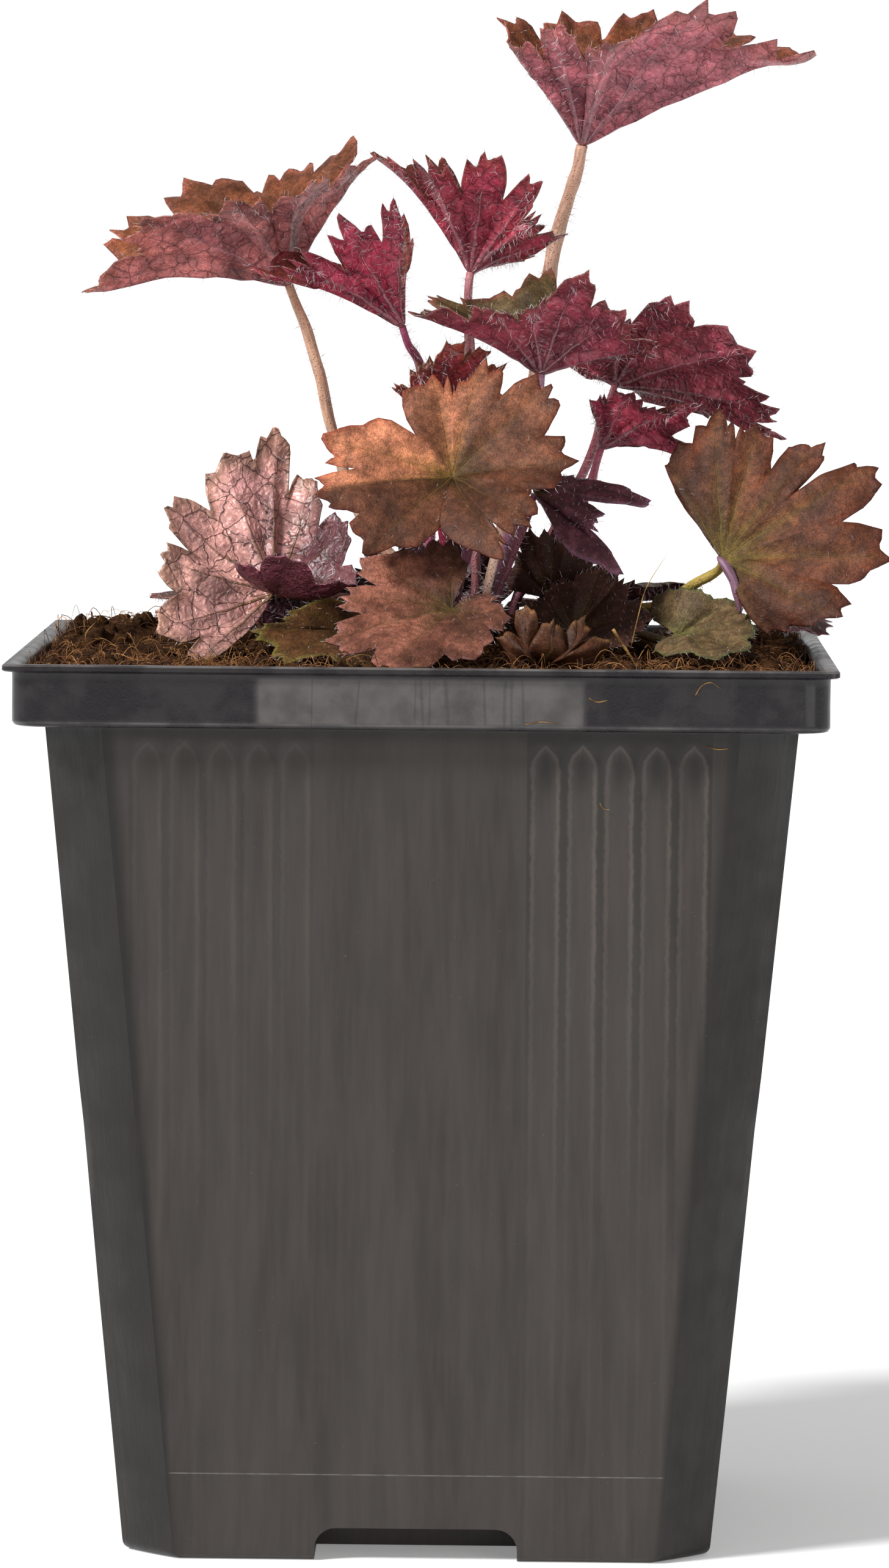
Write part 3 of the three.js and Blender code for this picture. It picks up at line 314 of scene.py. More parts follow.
def spline(a, b, c, d, t):
    """A point of the smooth curve between b and c, for t from 0 to 1."""
    return b + 0.5 * t * (c - a + t * (2 * a - 5 * b + 4 * c - d + t * (3 * (b - c) + d - a)))


def dense(points, steps=6):
    """The points with `steps` more along a smooth line between each two of them."""
    p = np.array(points, float)
    p = np.concatenate([[2 * p[0] - p[1]], p, [2 * p[-1] - p[-2]]])
    path = [spline(*p[i:i + 4], k / steps) for i in range(len(p) - 3) for k in range(steps)]
    return np.array([*path, p[-2]])


def mesh_piece(name, verts, faces, materials, face_slots=None, fields=None):
    """A smooth mesh object from points in mm. fields are named colours or vectors per point."""
    mesh = bpy.data.meshes.new(name)
    mesh.from_pydata(np.asarray(verts, float) * MM, [], [list(map(int, f)) for f in faces])
    for key, values in (fields or {}).items():
        values = np.asarray(values, np.float32)
        kind, part = ("FLOAT_COLOR", "color") if values.shape[1] == 4 else ("FLOAT_VECTOR", "vector")
        mesh.attributes.new(key, kind, "POINT").data.foreach_set(part, values.ravel())
    for material in materials:
        mesh.materials.append(material)
    if face_slots is not None:
        mesh.polygons.foreach_set("material_index", np.asarray(face_slots, np.int32))
    mesh.polygons.foreach_set("use_smooth", np.ones(len(mesh.polygons), bool))
    mesh.update()
    return linked(name, mesh)


def linked(name, data):
    """An object for some data, put into the scene."""
    made = bpy.data.objects.new(name, data)
    bpy.context.scene.collection.objects.link(made)
    return made


def slot_of(node):
    parts = frame["record"]["subparts"]
    return next(part["material_slot"] for part in parts if part["node"] == node)


def settle(piece, slot, *nodes):
    """Lets a finished piece ride on the plant and stand for CAD nodes; slot is not used."""
    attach(piece, "root")
    if nodes:
        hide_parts(*nodes)


# ---------------------------------------------------------------- shader nodes
def arithmetic(operation, swapped=False):
    """A method of Term for one sign."""
    def act(self, other):
        pair = (other, self) if swapped else (self, other)
        return self.nodes.maths(operation, *pair)
    return act


class Term:
    """A node's output that takes part in plain arithmetic, which adds Math nodes."""

    def __init__(self, nodes, socket):
        self.nodes, self.socket = nodes, socket

    def __abs__(self):
        return self.nodes.maths("ABSOLUTE", self)

    __add__, __radd__ = arithmetic("ADD"), arithmetic("ADD", swapped=True)
    __sub__, __rsub__ = arithmetic("SUBTRACT"), arithmetic("SUBTRACT", swapped=True)
    __mul__, __rmul__ = arithmetic("MULTIPLY"), arithmetic("MULTIPLY", swapped=True)
    __truediv__, __pow__ = arithmetic("DIVIDE"), arithmetic("POWER")


class Nodes:
    """Adds nodes to a shader tree by short calls that return Terms."""

    def __init__(self, tree):
        self.tree = tree

    def feed(self, socket, value):
        """Links a Term to an input socket, or sets the socket's own value."""
        if isinstance(value, Term):
            self.tree.links.new(value.socket, socket)
        else:
            socket.default_value = value

    def node(self, kind, inputs=(), out=0, **props):
        made = self.tree.nodes.new("ShaderNode" + kind)
        for key, value in props.items():
            setattr(made, key, value)
        for key, value in dict(inputs).items():
            self.feed(made.inputs[key], value)
        return Term(self, made.outputs[out])

    def maths(self, operation, *values):
        return self.node("Math", dict(enumerate(values)), operation=operation)

    def higher(self, a, b):
        return self.maths("MAXIMUM", a, b)

    def vector(self, operation, a, b):
        return self.node("VectorMath", {0: a, 1: b}, operation=operation)

    def scale(self, vector, factor):
        return self.node("VectorMath", {0: vector, "Scale": factor}, operation="SCALE")

    def split(self, value, kind="XYZ"):
        """The three parts of a vector, or of a colour with kind Color."""
        name = "Vector" if kind == "XYZ" else kind
        made = self.node("Separate" + kind, {name: value})
        return [Term(self, part) for part in made.socket.node.outputs]

    def field(self, name, out="Vector"):
        return self.node("Attribute", attribute_name=name, out=out)

    def place(self):
        """The point of the part, in mm."""
        return self.scale(self.node("TexCoord", out="Object"), 1 / MM)

    def step(self, value, low, high, to_low=0.0, to_high=1.0):
        """Smooth ramp of value from low to high."""
        return self.node("MapRange", {"Value": value, "From Min": low, "From Max": high,
                                      "To Min": to_low, "To Max": to_high},
                         interpolation_type="SMOOTHSTEP")

    def noise(self, place, scale, detail=2.0, rough=0.5, out=0):
        return self.node("TexNoise", {"Vector": place, "Scale": scale, "Detail": detail,
                                      "Roughness": rough}, out=out)

    def cells(self, place, scale):
        """Distance to the nearest border of a net of cells."""
        return self.node("TexVoronoi", {"Vector": place, "Scale": scale},
                         feature="DISTANCE_TO_EDGE")

    def blend(self, share, a, b):
        """Colour a where share is 0 and b where it is 1."""
        made = self.tree.nodes.new("ShaderNodeMix")
        made.data_type = "RGBA"
        for key, value in ((0, share), (6, a), (7, b)):
            self.feed(made.inputs[key], value)
        return Term(self, made.outputs[2])

    def bump(self, height, distance_mm):
        return self.node("Bump", {"Height": height, "Distance": distance_mm * MM, "Strength": 1.0})


class Shader(Nodes):
    """A material with one principled surface, whose settings are named with _ for a space."""

    def __init__(self, name, **settings):
        self.material = bpy.data.materials.new(name)
        self.material.use_nodes = True
        super().__init__(self.material.node_tree)
        self.tree.nodes.clear()
        self.surface = self.tree.nodes.new("ShaderNodeBsdfPrincipled")
        out = self.tree.nodes.new("ShaderNodeOutputMaterial")
        self.tree.links.new(self.surface.outputs[0], out.inputs[0])
        for key, value in settings.items():
            self.surface.inputs[key.replace("_", " ")].default_value = value

    def finish(self, colour, roughness=None, normal=None):
        for key, value in (("Base Color", colour), ("Roughness", roughness), ("Normal", normal)):
            if value is not None:
                self.feed(self.surface.inputs[key], value)
        return self.material


# ---------------------------------------------------------------- materials of the leaves
PALE_SPECK = (0.42, 0.28, 0.2, 1)
HAIR_COLOURS = (0.72, 0.6, 0.6, 1), (0.95, 0.92, 0.92, 1)


def leaf_veins(s, flat, lobe, broad, fine_line):
    """Masks of a lobe's main vein and of its side veins, which leave it aslant, 3.4 mm apart,
    left and right in turn; and the share of the way to the margin."""
    across, along, margin = s.split(lobe)
    wobble = s.noise(flat, 0.45, 2) - 0.5
    side = abs(across + wobble * 0.5)
    width = s.step(margin, 0.0, 1.0, broad, 0.3 * broad)
    main = (1.0 - s.step(side / width, 0.45, 1.15)) * s.step(margin, 0.55, 1.0, 1.0, 0.45)
    shift = s.maths("LESS_THAN", across, 0.0) * 0.5
    rank = (along - side * 0.85) / 3.4 + shift + wobble * 1.3
    second = 1.0 - s.step(abs(s.maths("FRACT", rank) - 0.5), 0.008, 0.04 * fine_line)
    return main, second, margin


def leaf_tone(s, flat, cells, grain, quilt):
    """Brightness: patches of 4 mm, 0.15 mm and 0.7 mm, and painted shade round the cells' borders,
    which leaves their middles lighter.
    """
    tone = s.step(s.noise(flat, 0.28, 3, 0.6), 0.32, 0.7, 0.6, 1.3)
    for scale, detail, fray, depth in ((7.0, 2, 0.8, 0.32 * grain), (1.5, 3, 0.65, 0.24 * grain)):
        tone = tone * s.step(s.noise(flat, scale, detail, fray), 0.36, 0.64, 1 - depth, 1 + depth)
    return tone * s.step(cells, 0.0, 0.3, 1 - quilt, 1 + 0.5 * quilt)


def leaf_material(name, vein, net, vein_share, net_share, rough, relief, grain, ridge,
                  cell=0.42, broad=0.26, fine_line=1.0, quilt=0.08, **settings):
    """One side of a blade. The tint field is its colour, with painted light and shade; the lobe field
    holds the distance across and along the lobe's main vein in mm and the share of the way to the
    margin; the flat field is the blade laid out flat, in mm. vein and net colour the main veins and
    the net between them. ridge is 1 where veins stand out of the surface and -1 where they are
    sunk in it, 1 / cell is the width in mm of the net's cells, broad that of a main vein,
    fine_line scales the thin veins, and quilt says how much painted shade darkens a cell's border."""
    s = Shader(name, **settings)
    flat = s.field("flat")
    main, second, margin = leaf_veins(s, flat, s.field("lobe"), broad, fine_line)
    warp = s.vector("MULTIPLY", s.noise(flat, 0.8, 2, out=1), (1.1, 1.1, 1.1))
    warped = s.vector("ADD", flat, warp)
    cells, small = s.cells(warped, cell), s.cells(warped, 3.2 * cell)
    big = 1.0 - s.step(cells, 0.006, 0.05 * fine_line)
    fine = 1.0 - s.step(small, 0.02, 0.16)
    mesh = s.higher(s.higher(second * 0.85, big), fine * 0.3)
    colour = s.vector("MULTIPLY", s.field("tint", "Color"), leaf_tone(s, flat, cells, grain, quilt))
    # Pale specks: partly the blade's fine stipple, partly painted glints.
    specks = s.step(s.noise(flat, 5.5, 2, 0.7), 0.62, 0.74, 0.0, 0.13)
    colour = s.blend(specks * grain, colour, PALE_SPECK)
    colour = s.blend(mesh * net_share, colour, opaque(linear(net)))
    fading = s.step(margin, 0.1, 0.95, vein_share, vein_share * 0.35)
    colour = s.blend(main * fading, colour, opaque(linear(vein)))
    pits = s.noise(flat, 4.5, 3, 0.65)
    height = s.step(cells, 0.0, 0.45) * (0.5 * relief) + s.step(small, 0, 0.4) * (0.3 * relief)
    height = height + mesh * (0.2 * ridge) + main * (0.7 * ridge) + pits * (0.22 * grain)
    return s.finish(colour, s.step(pits, 0.25, 0.75, rough - 0.07, rough + 0.12),
                    s.bump(height, 0.32))


UNDER = dict(vein="b48a92", net="30101a", vein_share=0.4, net_share=0.6, rough=0.38, relief=1.1,
             quilt=0.13, grain=0.6, ridge=0.8, broad=0.2, fine_line=0.8, Specular_IOR_Level=0.45)
UPPER = dict(vein="7a6030", net="4c2a1a", vein_share=0.3, net_share=0.3, rough=0.46, relief=0.2,
             quilt=0.08, grain=1.1, ridge=-0.25, broad=0.13, Specular_IOR_Level=0.18)
PINK = dict(UNDER, vein="6e5230", net="3c1a18", vein_share=0.9, net_share=0.85, rough=0.3,
            cell=0.36, broad=0.15, quilt=0.1, Specular_IOR_Level=0.6)
QUILTED = dict(UNDER, vein="8a6458", net="3a1420", rough=0.34, relief=2.0, cell=0.6,
               Specular_IOR_Level=0.5)
DARK = dict(UPPER, vein="7a6c34", vein_share=0.35, net_share=0.26, rough=0.48)
SIDES = {
    "purple": leaf_material("purple_underside", **UNDER),
    "pink": leaf_material("pink_underside", **PINK),
    "quilted": leaf_material("quilted_flap", **QUILTED),
    "bronze": leaf_material("bronze_upper_side", **UPPER),
    "dark": leaf_material("dark_upper_side", **DARK),
}
UPPER_LOOK = {"08": "dark", "12": "dark", "13": "dark", "21": "dark"}
UNDER_LOOK = {"10": "pink"}


def hair_material():
    s = Shader("hair", Roughness=0.4, Specular_IOR_Level=0.5)
    tone = s.step(s.noise(s.node("NewGeometry", out="Position"), 900, 1), 0.3, 0.7)
    return s.finish(s.blend(tone, *HAIR_COLOURS))


def stalk_material(name, code, shaded_foot=True):
    """Hairy stalk: streaks along it, darker and lighter patches, fine bumps where hairs sit, and,
    unless told not to, painted shade that darkens it towards its foot in the crown.
    """
    s = Shader(name, Roughness=0.45, Specular_IOR_Level=0.5)
    place = s.field("along")  # x round the stalk, y along it, in mm
    streaks = s.noise(s.vector("MULTIPLY", place, (1.0, 0.12, 1.0)), 3.0, 3, 0.6)
    patches = s.step(s.noise(place, 0.25, 2), 0.35, 0.7)
    base = linear(code)
    colour = s.blend(s.step(streaks, 0.35, 0.7), opaque(base * 0.78), opaque(base * 1.25))
    colour = s.blend(patches * 0.35, colour, opaque(base * np.array([0.85, 0.6, 0.6])))
    run = s.split(place)[1]
    # Painted shade towards the foot, among the other stalks in the crown.
    colour = s.scale(colour, s.step(run, 1.0, 13.0, 0.28 if shaded_foot else 1.0, 1.0))
    dots = s.node("TexVoronoi", {"Vector": place, "Scale": 3.2})
    bumps = s.step(dots, 0.0, 0.35, 1.0, 0.0) + streaks
    return s.finish(colour, s.step(streaks, 0.3, 0.7, 0.38, 0.55), s.bump(bumps, 0.12))


# ---------------------------------------------------------------- blades
def knots_of(leaf):
    """Knots (u, direction, length) of the lobes' main veins and the two basal edges."""
    arms = np.array(leaf["tips"], float) - leaf["hub"]
    lengths = np.linalg.norm(arms, axis=1)
    ways = arms / lengths[:, None]
    axis = unit(np.cross(ways[:-1], ways[1:]).sum(0))
    ear = leaf.get("ear", BLADE["ear"])
    edge_length = leaf.get("ear_length", BLADE["ear_length"])
    n = len(arms)
    u = np.array([0, *(np.arange(n) + 0.5), n])
    way = np.array([turned(ways[0], axis, -ear), *ways, turned(ways[-1], axis, ear)])
    length = np.array([lengths[0] * edge_length, *lengths, lengths[-1] * edge_length])
    return u, way, length, axis


def rays_at(knots, u):
    """Directions and lengths of the blade's rays at the positions u, smooth through the knots."""
    ku, way, length, _ = knots
    last = len(ku) - 1
    i = np.clip(np.searchsorted(ku, u, side="right") - 1, 0, last - 1)
    t = (u - ku[i]) / (ku[i + 1] - ku[i])
    around = [np.clip(i + k, 0, last) for k in (-1, 0, 1, 2)]
    ways = spline(*[way[k] for k in around], t[:, None])
    return unit(ways), spline(*[length[k] for k in around], t)


RINGS = [0.05, 0.11, 0.17, 0.23, 0.29, 0.35, 0.41, 0.47, 0.53, 0.59, 0.65, 0.71, 0.77, 0.82,
         0.87, 0.91, 0.945, 0.975, 1.0]
PER_TOOTH = 6
LAST_U = 1e-6  # how far inside the last basal edge a place along the margin stays


def blade_rings(leaf):
    """Rings of the blade's grid as lists of u, finer towards the margin."""
    n, teeth = len(leaf["tips"]), BLADE["teeth"]
    full = n * teeth * PER_TOOTH
    rings = []
    for s in RINGS:
        divide = 1 if s > 0.4 else 2 if s > 0.2 else 6
        rings.append((s, np.arange(full // divide + 1) * (n * divide / full)))
    return rings


def blade_reach(leaf, length, u, s, lobe, off_vein):
    """How far each point is from the hub, with bays between lobes and teeth at the margin."""
    n, seed, jag = len(leaf["tips"]), int(leaf["name"]), leaf.get("jag", FINE["jag"])
    bay = np.round(u).astype(int)
    inner = (bay > 0) & (bay < n)
    deep, cuts, tapers = leaf.get("notch", BLADE["notch"]), leaf.get("cuts", {}), leaf.get("taper", {})
    notch = inner * np.array([cuts.get(int(b), deep) for b in bay]) * off_vein ** BLADE["bay"]
    taper = np.array([tapers.get(int(i), 0) for i in lobe])
    notch = notch + taper * 4 * off_vein * (1 - off_vein)
    uneven = 0.24 * np.sin(2.9 * u + seed) + 0.14 * np.sin(7.3 * u)
    swing = BLADE["teeth"] * (u - 0.5) + uneven
    between = 2 * np.abs(swing - np.round(swing))
    draw = noise(np.stack([np.round(swing), lobe, lobe], 1), 1.0, seed)
    tooth_size = 0.55 + 0.9 * (draw * 0.5 + 0.5)
    scallop = BLADE["tooth"] * jag * tooth_size * between ** 1.4
    mucro = FINE["mucro"] * min(1, jag) * np.clip(1 - between / 0.24, 0, 1) ** 1.3
    reach = length * s * (1 - notch - BLADE["point"] * off_vein)
    reach -= length * scallop * smooth(0.7, 1.0, s)
    return reach + mucro * smooth(0.92, 1.0, s)


def laid_flat(knots, n, u, reach, seed):
    """The blade's points laid out flat, in mm, each leaf in a layer of its own."""
    steps = np.linspace(0, n - LAST_U, 40 * n)
    trail, _ = rays_at(knots, steps)
    turn = np.arccos(np.clip(np.sum(trail[1:] * trail[:-1], 1), -1, 1))
    phi = np.interp(u, steps, np.concatenate([[0], np.cumsum(turn)]))
    return np.stack([reach * np.cos(phi), reach * np.sin(phi), np.full(len(u), 7.3 * seed)], 1)


def blade_lift(leaf, length, off_vein, f):
    """Relief: veins lie in creases, the surface between them swells, the margin waves."""
    across, along, s = f["lobe"].T
    flat, size, seed = f["flat"], f["size"], int(leaf["name"])
    pleat = leaf.get("pleat", FINE["pleat"])
    rank = (along - 0.85 * np.abs(across)) / 2.7 + 0.5 * (across < 0)
    swell = np.abs(np.sin(np.pi * (rank + 0.5))) ** 0.6 * smooth(0, 1.2, np.abs(across))
    crease = np.exp(-(across / (0.25 + 0.5 * (1 - s))) ** 2) * smooth(0, 0.08, s)
    lift = length * pleat * BLADE["fold"] * off_vein ** 2 * s * s
    lift += length * leaf.get("bow", BLADE["bow"]) * 4 * s * (1 - s)
    lift += length * pleat * BLADE["puff"] * off_vein ** 2 * 4 * s * s * (1 - s)
    raised = 0.3 * swell * smooth(0.05, 0.3, s) * smooth(1.02, 0.85, s) - 0.28 * crease
    lift += size * pleat * raised
    lift += size * leaf.get("ruffle", FINE["ruffle"]) * noise(flat, 3.4, seed) * s ** 2
    lift += size * (1.4 - 0.7 * pleat) * noise(flat, 7, seed + 80) * s ** 1.3
    return lift + size * 0.25 * noise(flat, 1.5, seed + 50) * s ** 3


def grid_faces(rings, starts):
    """Triangles between the hub and the rings, where a ring may be finer than the one inside."""
    faces = [(0, int(starts[0] + i), int(starts[0] + i + 1)) for i in range(len(rings[0][1]) - 1)]
    for r in range(len(rings) - 1):
        (_, low), (_, high) = rings[r], rings[r + 1]
        a, b = starts[r], starts[r + 1]
        if len(low) == len(high):
            i = np.arange(len(low) - 1)
            faces += np.stack([a + i, b + i, b + i + 1], 1).tolist()
            faces += np.stack([a + i, b + i + 1, a + i + 1], 1).tolist()
            continue
        many = (len(high) - 1) // (len(low) - 1)
        half = many // 2
        for i in range(len(low) - 1):
            fan = [b + i * many + j for j in range(many + 1)]
            faces += [(a + i, fan[j], fan[j + 1]) for j in range(half)]
            faces.append((a + i, fan[half], a + i + 1))
            faces += [(a + i + 1, fan[j], fan[j + 1]) for j in range(half, many)]
    return np.array(faces)


def blade_sheet(leaf):
    """Points of the blade's middle surface, its triangles, the points round its edge and its
    fields: u is the place along the margin in lobes and s the share of the way to it."""
    knots, rings = knots_of(leaf), blade_rings(leaf)
    n, seed = len(leaf["tips"]), int(leaf["name"])
    u = np.concatenate([[0.0], *[ring for _, ring in rings]])
    s = np.concatenate([[0.0], *[np.full(len(ring), at) for at, ring in rings]])
    way, length = rays_at(knots, np.minimum(u, n - LAST_U))
    before, _ = rays_at(knots, np.maximum(u - BLADE["look"], 0))
    after, _ = rays_at(knots, np.minimum(u + BLADE["look"], n - LAST_U))
    normal = unit(np.cross(before, after))
    lobe = np.minimum(np.floor(u), n - 1).astype(int)
    off_vein = 2 * np.abs(u - lobe - 0.5)  # 0 on a lobe's main vein, 1 between two lobes
    reach = blade_reach(leaf, length, u, s, lobe, off_vein)
    cos = np.clip(np.sum(way * knots[1][lobe + 1], 1), -1, 1)
    across = reach * np.sqrt(1 - cos ** 2) * np.sign(u - lobe - 0.5)
    fields = dict(u=u, s=s, lobe=np.stack([across, reach * cos, s], 1),
                  flat=laid_flat(knots, n, u, reach, seed), size=np.clip(length / 16, 0.4, 1.1))
    lift = blade_lift(leaf, length, off_vein, fields)
    points = np.array(leaf["hub"]) + way * reach[:, None] + normal * lift[:, None]
    starts = np.cumsum([1, *[len(ring) for _, ring in rings]])
    edge = [0, *starts[:len(rings) - 1], *range(starts[-2], starts[-1])]
    edge += [starts[r + 1] - 1 for r in range(len(rings) - 2, -1, -1)]
    return points, grid_faces(rings, starts), np.array(edge, int), fields


def vertex_normals(points, faces):
    a, b, c = (points[faces[:, k]] for k in range(3))
    face = np.cross(b - a, c - a)
    normals = np.zeros_like(points)
    for k in range(3):
        np.add.at(normals, faces[:, k], face)
    return unit(normals)


def blade_tints(leaf, f):
    """Colours of the upper and the under side at the sheet's points, with painted light and shade."""
    u, s, flat, seed = f["u"], f["s"], f["flat"], int(leaf["name"])
    patch = 0.5 + 0.5 * noise(flat, 5.0, seed + 9)
    small = 0.5 + 0.5 * noise(flat, 1.6, seed + 19)
    # Painted light and shade, as a brightness by the place along the margin.
    painted_light = np.interp(u, *zip(*leaf.get("painted_light", [(0, 1)])))[:, None]
    by_vein = np.exp(-np.abs(f["lobe"][:, 0]) / 0.9) * (1 - 0.75 * s)
    hub = np.exp(-(s / 0.27) ** 2)
    upper, under, heart, rim = (linear(leaf[k]) for k in ("upper", "under", "heart", "rim"))
    upper = mix(upper * 0.82, upper * 1.2, patch)
    upper = mix(upper, heart, np.clip(0.7 * hub + 0.4 * by_vein, 0, 1))
    upper = mix(upper, rim, 0.75 * smooth(0.92, 1.0, s))
    upper *= (0.75 + 0.5 * small)[:, None] * painted_light
    # The under side gets painted shade towards the hub and painted light towards the margin.
    hub_shade = under * [0.7, 0.5, 0.6]
    under = mix(under * [0.72, 0.66, 0.8], under * 1.25, patch) * (0.68 + 0.5 * s)[:, None]
    under = mix(under, hub_shade, 0.5 * hub)
    under = mix(under, rim, 0.6 * smooth(0.8, 1.0, s))
    under *= (0.72 + 0.56 * small)[:, None] * painted_light
    flap = leaf.get("flap")
    if flap:  # the folded lobes turn a quilted side to the front, and painted shade darkens the lobes beside them, under the fold
        quilt = linear(leaf["flap_colour"])
        upper = mix(upper, mix(quilt, upper, 0.1), smooth(flap - 0.5, flap + 0.3, u))
        under = mix(under, quilt * 0.25, 0.88 * smooth(flap - 1.5, flap - 0.8, u))
    return upper, under


def blade_piece(name, leaf, sheet, normals, above, below, sides):
    """A closed blade round the middle surface, `above` and `below` mm thick, whose materials
    are those of the upper side, the under side and any folded lobes."""
    points, faces, edge, f = sheet
    count, after = len(points), np.roll(edge, -1)
    top, low = points + normals * above[:, None], points - normals * below[:, None]
    wall = np.stack([after, edge, edge + count, after + count], 1).tolist()
    slots = np.array([0] * len(faces) + [1] * (len(faces) + len(wall)))
    if len(sides) == 3:
        folded = (f["u"] > leaf["flap"])[faces].all(1)
        slots[:len(faces)][folded] = 2
    fields = {key: np.concatenate([f[key], f[key]]) for key in ("lobe", "flat")}
    fields["tint"] = rgba(np.concatenate(blade_tints(leaf, f)))
    return mesh_piece(name, np.concatenate([top, low]),
                      faces.tolist() + (faces[:, ::-1] + count).tolist() + wall,
                      [SIDES[side] for side in sides], slots, fields)


def three_round(ways):
    """Three directions square to each of the ways and evenly spread round it."""
    side = unit(np.cross(ways, [0.31, 0.52, 0.79]))
    other = np.cross(ways, side)
    return [side * np.cos(a) + other * np.sin(a) for a in 2 * np.pi * np.arange(3) / 3]


class Hairs:
    """Collects thin bent cones and makes one mesh of them."""
    CONE = [face for k, j in ((0, 1), (1, 2), (2, 0))
            for face in ((k, j, 3 + j), (k, 3 + j, 3 + k), (3 + k, 3 + j, 6))] + [(2, 1, 0)]

    def __init__(self):
        self.cones = []

    def add(self, roots, ways, lengths, bend, radius):
        """Hairs from roots along unit ways; bend is how far each tip moves sideways, in mm."""
        lengths = lengths[:, None]
        middle = roots + ways * lengths * 0.55 + bend * 0.25
        rings = [centre + r * out for centre, r in ((roots - ways * 0.05, radius),
                                                    (middle, radius * 0.7))
                 for out in three_round(ways)]
        self.cones.append(np.stack([*rings, roots + ways * lengths + bend], 1))

    def piece(self, name, material):
        cones = np.concatenate(self.cones)
        per_cone = cones.shape[1]
        first = per_cone * np.arange(len(cones))[:, None, None]
        faces = (first + np.array(self.CONE)).reshape(-1, 3)
        return mesh_piece(name, cones.reshape(-1, 3), faces, [material])


margin_hairs, blade_hairs, stalk_hairs = Hairs(), Hairs(), Hairs()


def grow_blade_hairs(leaf, points, normals, edge, f):
    hairy = HAIRY.get(leaf["name"], 1.0)
    rim = points[edge]
    out = unit(rim - np.array(leaf["hub"]))
    step = np.linalg.norm(np.roll(rim, -1, 0) - rim, axis=1)
    chance = np.clip(step / FINE["hair_step"], 0, 0.9) * min(hairy, 1.3)
    keep = rng.random(len(edge)) < chance
    way = unit(out[keep] + rng.normal(0, 0.35, out[keep].shape) - 0.2 * normals[edge][keep])
    long = rng.uniform(0.4, 1.0, len(way)) * (0.8 + 0.25 * hairy)
    margin_hairs.add(rim[keep], way, long, rng.normal(0, 0.12, way.shape), FINE["hair"])
    # under side: thick along the veins, thin between them
    weight = (0.15 + np.exp(-(f["lobe"][:, 0] / 0.5) ** 2)) * f["s"] * (f["s"] < 0.97)
    spots = rng.choice(len(points), int(FINE["under_hairs"] * hairy * f["size"].mean()),
                       p=weight / weight.sum())
    roots = points[spots] - normals[spots] * 0.12
    way = unit(-normals[spots] + rng.normal(0, 0.45, roots.shape))
    long = rng.uniform(0.45, 1.15, len(spots)) * (0.75 + 0.25 * hairy)
    blade_hairs.add(roots, way, long, rng.normal(0, 0.16, roots.shape), FINE["hair"])
    # upper side: short and sparse
    spots = rng.choice(len(points), int(FINE["upper_hairs"] * hairy), p=f["s"] / f["s"].sum())
    way = unit(normals[spots] + rng.normal(0, 0.4, (len(spots), 3)))
    long = rng.uniform(0.25, 0.6, len(spots))
    blade_hairs.add(points[spots] + normals[spots] * 0.12, way, long,
                    rng.normal(0, 0.1, way.shape), FINE["short_hair"])


def build_blade(leaf):
    sheet = blade_sheet(leaf)
    points, faces, edge, f = sheet
    normals = vertex_normals(points, faces)
    thick = FINE["margin_thick"] + FINE["hub_thick"] * (1 - f["s"] ** 2)
    half = FINE["vein_half"] + FINE["vein_flare"] * (1 - f["s"])
    vein = np.exp(-(f["lobe"][:, 0] / half) ** 2)
    ridge = FINE["vein_ridge"] * (1 - 0.75 * f["s"]) * vein  # veins stand out under the blade
    name = leaf["name"]
    sides = [UPPER_LOOK.get(name, "bronze"), UNDER_LOOK.get(name, "purple")]
    sides += ["quilted"] if "flap" in leaf else []
    node = f"leaf_blade_{name}"
    settle(blade_piece(f"blade_{name}", leaf, sheet, normals, thick, thick + ridge, sides),
           slot_of(node), node)
    grow_blade_hairs(leaf, points, normals, edge, f)


# ---------------------------------------------------------------- stalks
def centripetal(p, i, w):
    """The point at share w of the stretch from knot i + 1 to knot i + 2 of a smooth curve."""
    a, b, c, d = p[i:i + 4]
    d0, d1, d2 = (max(np.linalg.norm(q - r), 1e-6) ** 0.5 for q, r in ((b, a), (c, b), (d, c)))
    t1 = ((b - a) / d0 - (c - a) / (d0 + d1) + (c - b) / d1) * d1
    t2 = ((c - b) / d1 - (d - b) / (d1 + d2) + (d - c) / d2) * d1
    return b + w * (t1 + w * (-3 * b + 3 * c - 2 * t1 - t2 + w * (2 * b - 2 * c + t1 + t2)))


def stalk_path(leaf, steps):
    """Points along the stalk's centre line, the same smooth curve as the solid's, and its length."""
    x, y = leaf["root"]
    dx, dy = x - CROWN["x"], y - CROWN["y"]
    off = np.hypot(dx, dy) / CROWN["radius"]
    surface = CROWN["top"] - CROWN["fall"] * off * off
    foot = np.array([x, y, surface - CROWN["socket"]])
    neck = np.array([x + dx * CROWN["splay"], y + dy * CROWN["splay"], surface + CROWN["neck"]])
    hub = np.array(leaf["hub"], float)
    via = [np.array(p, float) for p in leaf["stem"]][::-1]
    along = unit(hub - (via[-1] if via else neck))
    share = leaf.get("leave", STALK["leave"])
    leave = unit(knots_of(leaf)[3] * (1 - share) + along * share)
    knots = [foot, neck, *via, hub - leave * STALK["near"], hub - leave * 0.1]
    last = len(knots) - 1
    p = [2 * knots[0] - knots[1], *knots, 2 * knots[-1] - knots[-2]]
    line = []
    for t in np.linspace(0, last, 24 * last + 1):
        i = min(int(t), last - 1)
        line.append(centripetal(p, i, t - i))
    line = np.array(line)
    run = np.concatenate([[0], np.cumsum(np.linalg.norm(np.diff(line, axis=0), axis=1))])
    at = np.linspace(0, run[-1], steps + 1)
    return np.stack([np.interp(at, run, line[:, k]) for k in range(3)], 1), run[-1]


